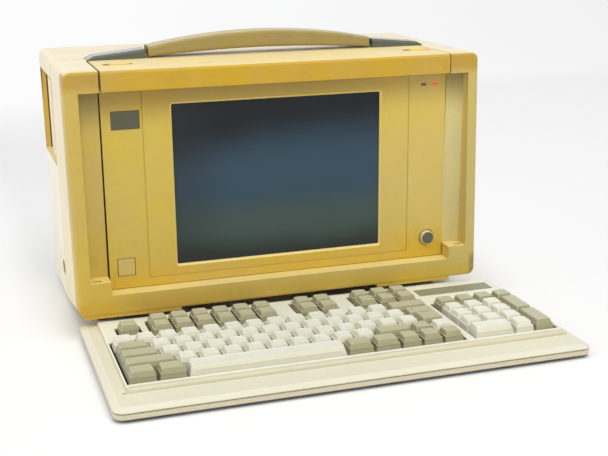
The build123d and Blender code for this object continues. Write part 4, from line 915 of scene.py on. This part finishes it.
def floor_material():
    """Matt near-white paper that keeps its shadows and runs into a white backdrop."""
    finish = Finish("floor")
    wash = finish.noise(3.0, 2.0)
    base = finish.mix(wash * 0.1, tint(252, 252, 252), tint(246, 246, 247))
    finish.set(Base_Color=base, Roughness=0.6)
    across, back = finish.split(finish.place(), "XY")
    # The white dims a little to the right: painted shade on the backdrop.
    paper = finish.mix(across.ramp(-0.6, 2.2), tint(254, 254, 254), tint(240, 240, 241))
    white = finish.node("ShaderNodeEmission", None, {"Color": paper, "Strength": 1.0})
    beside = (across.size() - cad_bounds[1][0]).ramp(0.004, 0.06) * 0.8
    away = back.size().at_least(across.size()).ramp(0.7, 1.6)
    share = seen_directly(finish) * beside.at_least(away)
    blend = finish.node("ShaderNodeMixShader", None, {0: share, 1: finish.surface, 2: white})
    finish.feed(finish.output.inputs[0], blend)
    return finish.material


# %% [markdown]
# The sheet itself is one strip of faces: flat under the object, a quarter turn, then up. A subdivided
# surface would be rounder, but the bend is far away and smooth shaded, so twelve faces are enough for it.

# %% The sheet of paper
FLOOR_WIDE, FLOOR_NEAR, FLOOR_FAR, FLOOR_TALL = 6.0, -3.0, 2.6, 3.0
BEND, BEND_STEPS = 0.9, 12


def make_floor():
    """A sheet with a round bend between floor and wall."""
    profile = [(FLOOR_NEAR, 0.0), (FLOOR_FAR - BEND, 0.0)]
    for step in range(1, BEND_STEPS + 1):
        turn = math.pi / 2 * step / BEND_STEPS
        profile.append((FLOOR_FAR - BEND + BEND * math.sin(turn), BEND - BEND * math.cos(turn)))
    profile.append((FLOOR_FAR, FLOOR_TALL))
    mesh = bmesh.new()
    left, right = [[mesh.verts.new((x, y, z)) for y, z in profile] for x in (-FLOOR_WIDE, FLOOR_WIDE)]
    for i in range(len(profile) - 1):
        mesh.faces.new((left[i], right[i], right[i + 1], left[i + 1]))
    place_mesh(mesh, "studio_floor", floor_material())


make_floor()
print("paper reaches from", FLOOR_NEAR, "to", FLOOR_FAR, "m")

# %% [markdown]
# ## Lights
# A broad soft light above and in front does most of the work. A weaker one from the left keeps that side
# readable, and one from the front on the right opens the shadows under the cap. Large square lamps were
# chosen over small ones, because they give the soft edges of a photo studio. Their levels are set so that
# a colour renders about as it is written.

# %% Lights
AIM = Vector((0.0, 0.0, 0.12))


def soft_light(name, place, size, power):
    """A square soft light at a place, turned to the object."""
    data = bpy.data.lights.new(name, "AREA")
    data.shape = "SQUARE"
    data.size = size
    data.energy = power
    lamp = bpy.data.objects.new(name, data)
    bpy.context.scene.collection.objects.link(lamp)
    lamp.location = place
    lamp.rotation_euler = (AIM - Vector(place)).to_track_quat("-Z", "Y").to_euler()


soft_light("overhead", (0.0, -0.7, 1.8), 1.8, 22)
soft_light("left_fill", (-1.9, -0.2, 1.0), 1.4, 9.5)
soft_light("front_fill", (0.9, -2.2, 1.1), 1.6, 9)
print("lamps", len(bpy.data.lights))

# %% [markdown]
# ## Sky
# An even sky fills the last shadows. At full white it would flatten the object, so it lights with less
# than half of that, and only rays that show it, straight or in a reflection, see white.

# %% Sky
WHITE = (1.0, 1.0, 1.0, 1.0)
SKY_LIGHT = 0.45


def make_sky():
    """An even sky that lights softly and is seen as white."""
    world = bpy.data.worlds.new("sky")
    bpy.context.scene.world = world
    net = Net(world)
    lit = net.node("ShaderNodeBackground", None, {"Color": WHITE, "Strength": SKY_LIGHT})
    seen = net.node("ShaderNodeBackground", None, {"Color": WHITE, "Strength": 1.0})
    chosen = net.node("ShaderNodeMixShader", None, {0: seen_directly(net), 1: lit, 2: seen})
    net.node("ShaderNodeOutputWorld", None, {0: chosen})


make_sky()
bpy.context.scene.view_settings.view_transform = "Standard"
print("sky lights at", SKY_LIGHT)

# %% [markdown]
# ## The camera
# The photograph was taken from the left and above with a short telephoto lens. The camera could be set by
# eye, but then no edge would quite meet its own in the photograph. So its place, direction and lens were
# solved from the case's straight edges and are written here as numbers.

# %% Camera
FRAME_W, FRAME_H = 608, 456
EYE = Vector((-0.302685, -1.02765, 0.36341))
YAW, PITCH, ROLL = math.radians(19.032), math.radians(-15.71), math.radians(-0.578)
FOCAL_PX = 1187.7
CENTRE_PX = (346.47, 248.80)
SENSOR = 36.0
NEAREST = 0.05

forward = Vector((math.sin(YAW) * math.cos(PITCH), math.cos(YAW) * math.cos(PITCH), math.sin(PITCH)))
level = Vector((math.cos(YAW), -math.sin(YAW), 0.0))
upright = level.cross(forward)
rightwards = level * math.cos(ROLL) + upright * math.sin(ROLL)
upwards = upright * math.cos(ROLL) - level * math.sin(ROLL)
camera_data = bpy.data.cameras.new("camera")
camera_data.sensor_width = SENSOR
camera_data.lens = SENSOR * FOCAL_PX / FRAME_W
camera_data.shift_x = (FRAME_W / 2 - CENTRE_PX[0]) / FRAME_W
camera_data.shift_y = (CENTRE_PX[1] - FRAME_H / 2) / FRAME_W
camera_data.clip_start = NEAREST
camera = bpy.data.objects.new("camera", camera_data)
bpy.context.scene.collection.objects.link(camera)
attitude = Matrix((rightwards, upwards, -forward)).transposed().to_4x4()
camera.matrix_world = Matrix.Translation(EYE) @ attitude
bpy.context.scene.camera = camera
print("lens", round(camera_data.lens, 2), "mm")
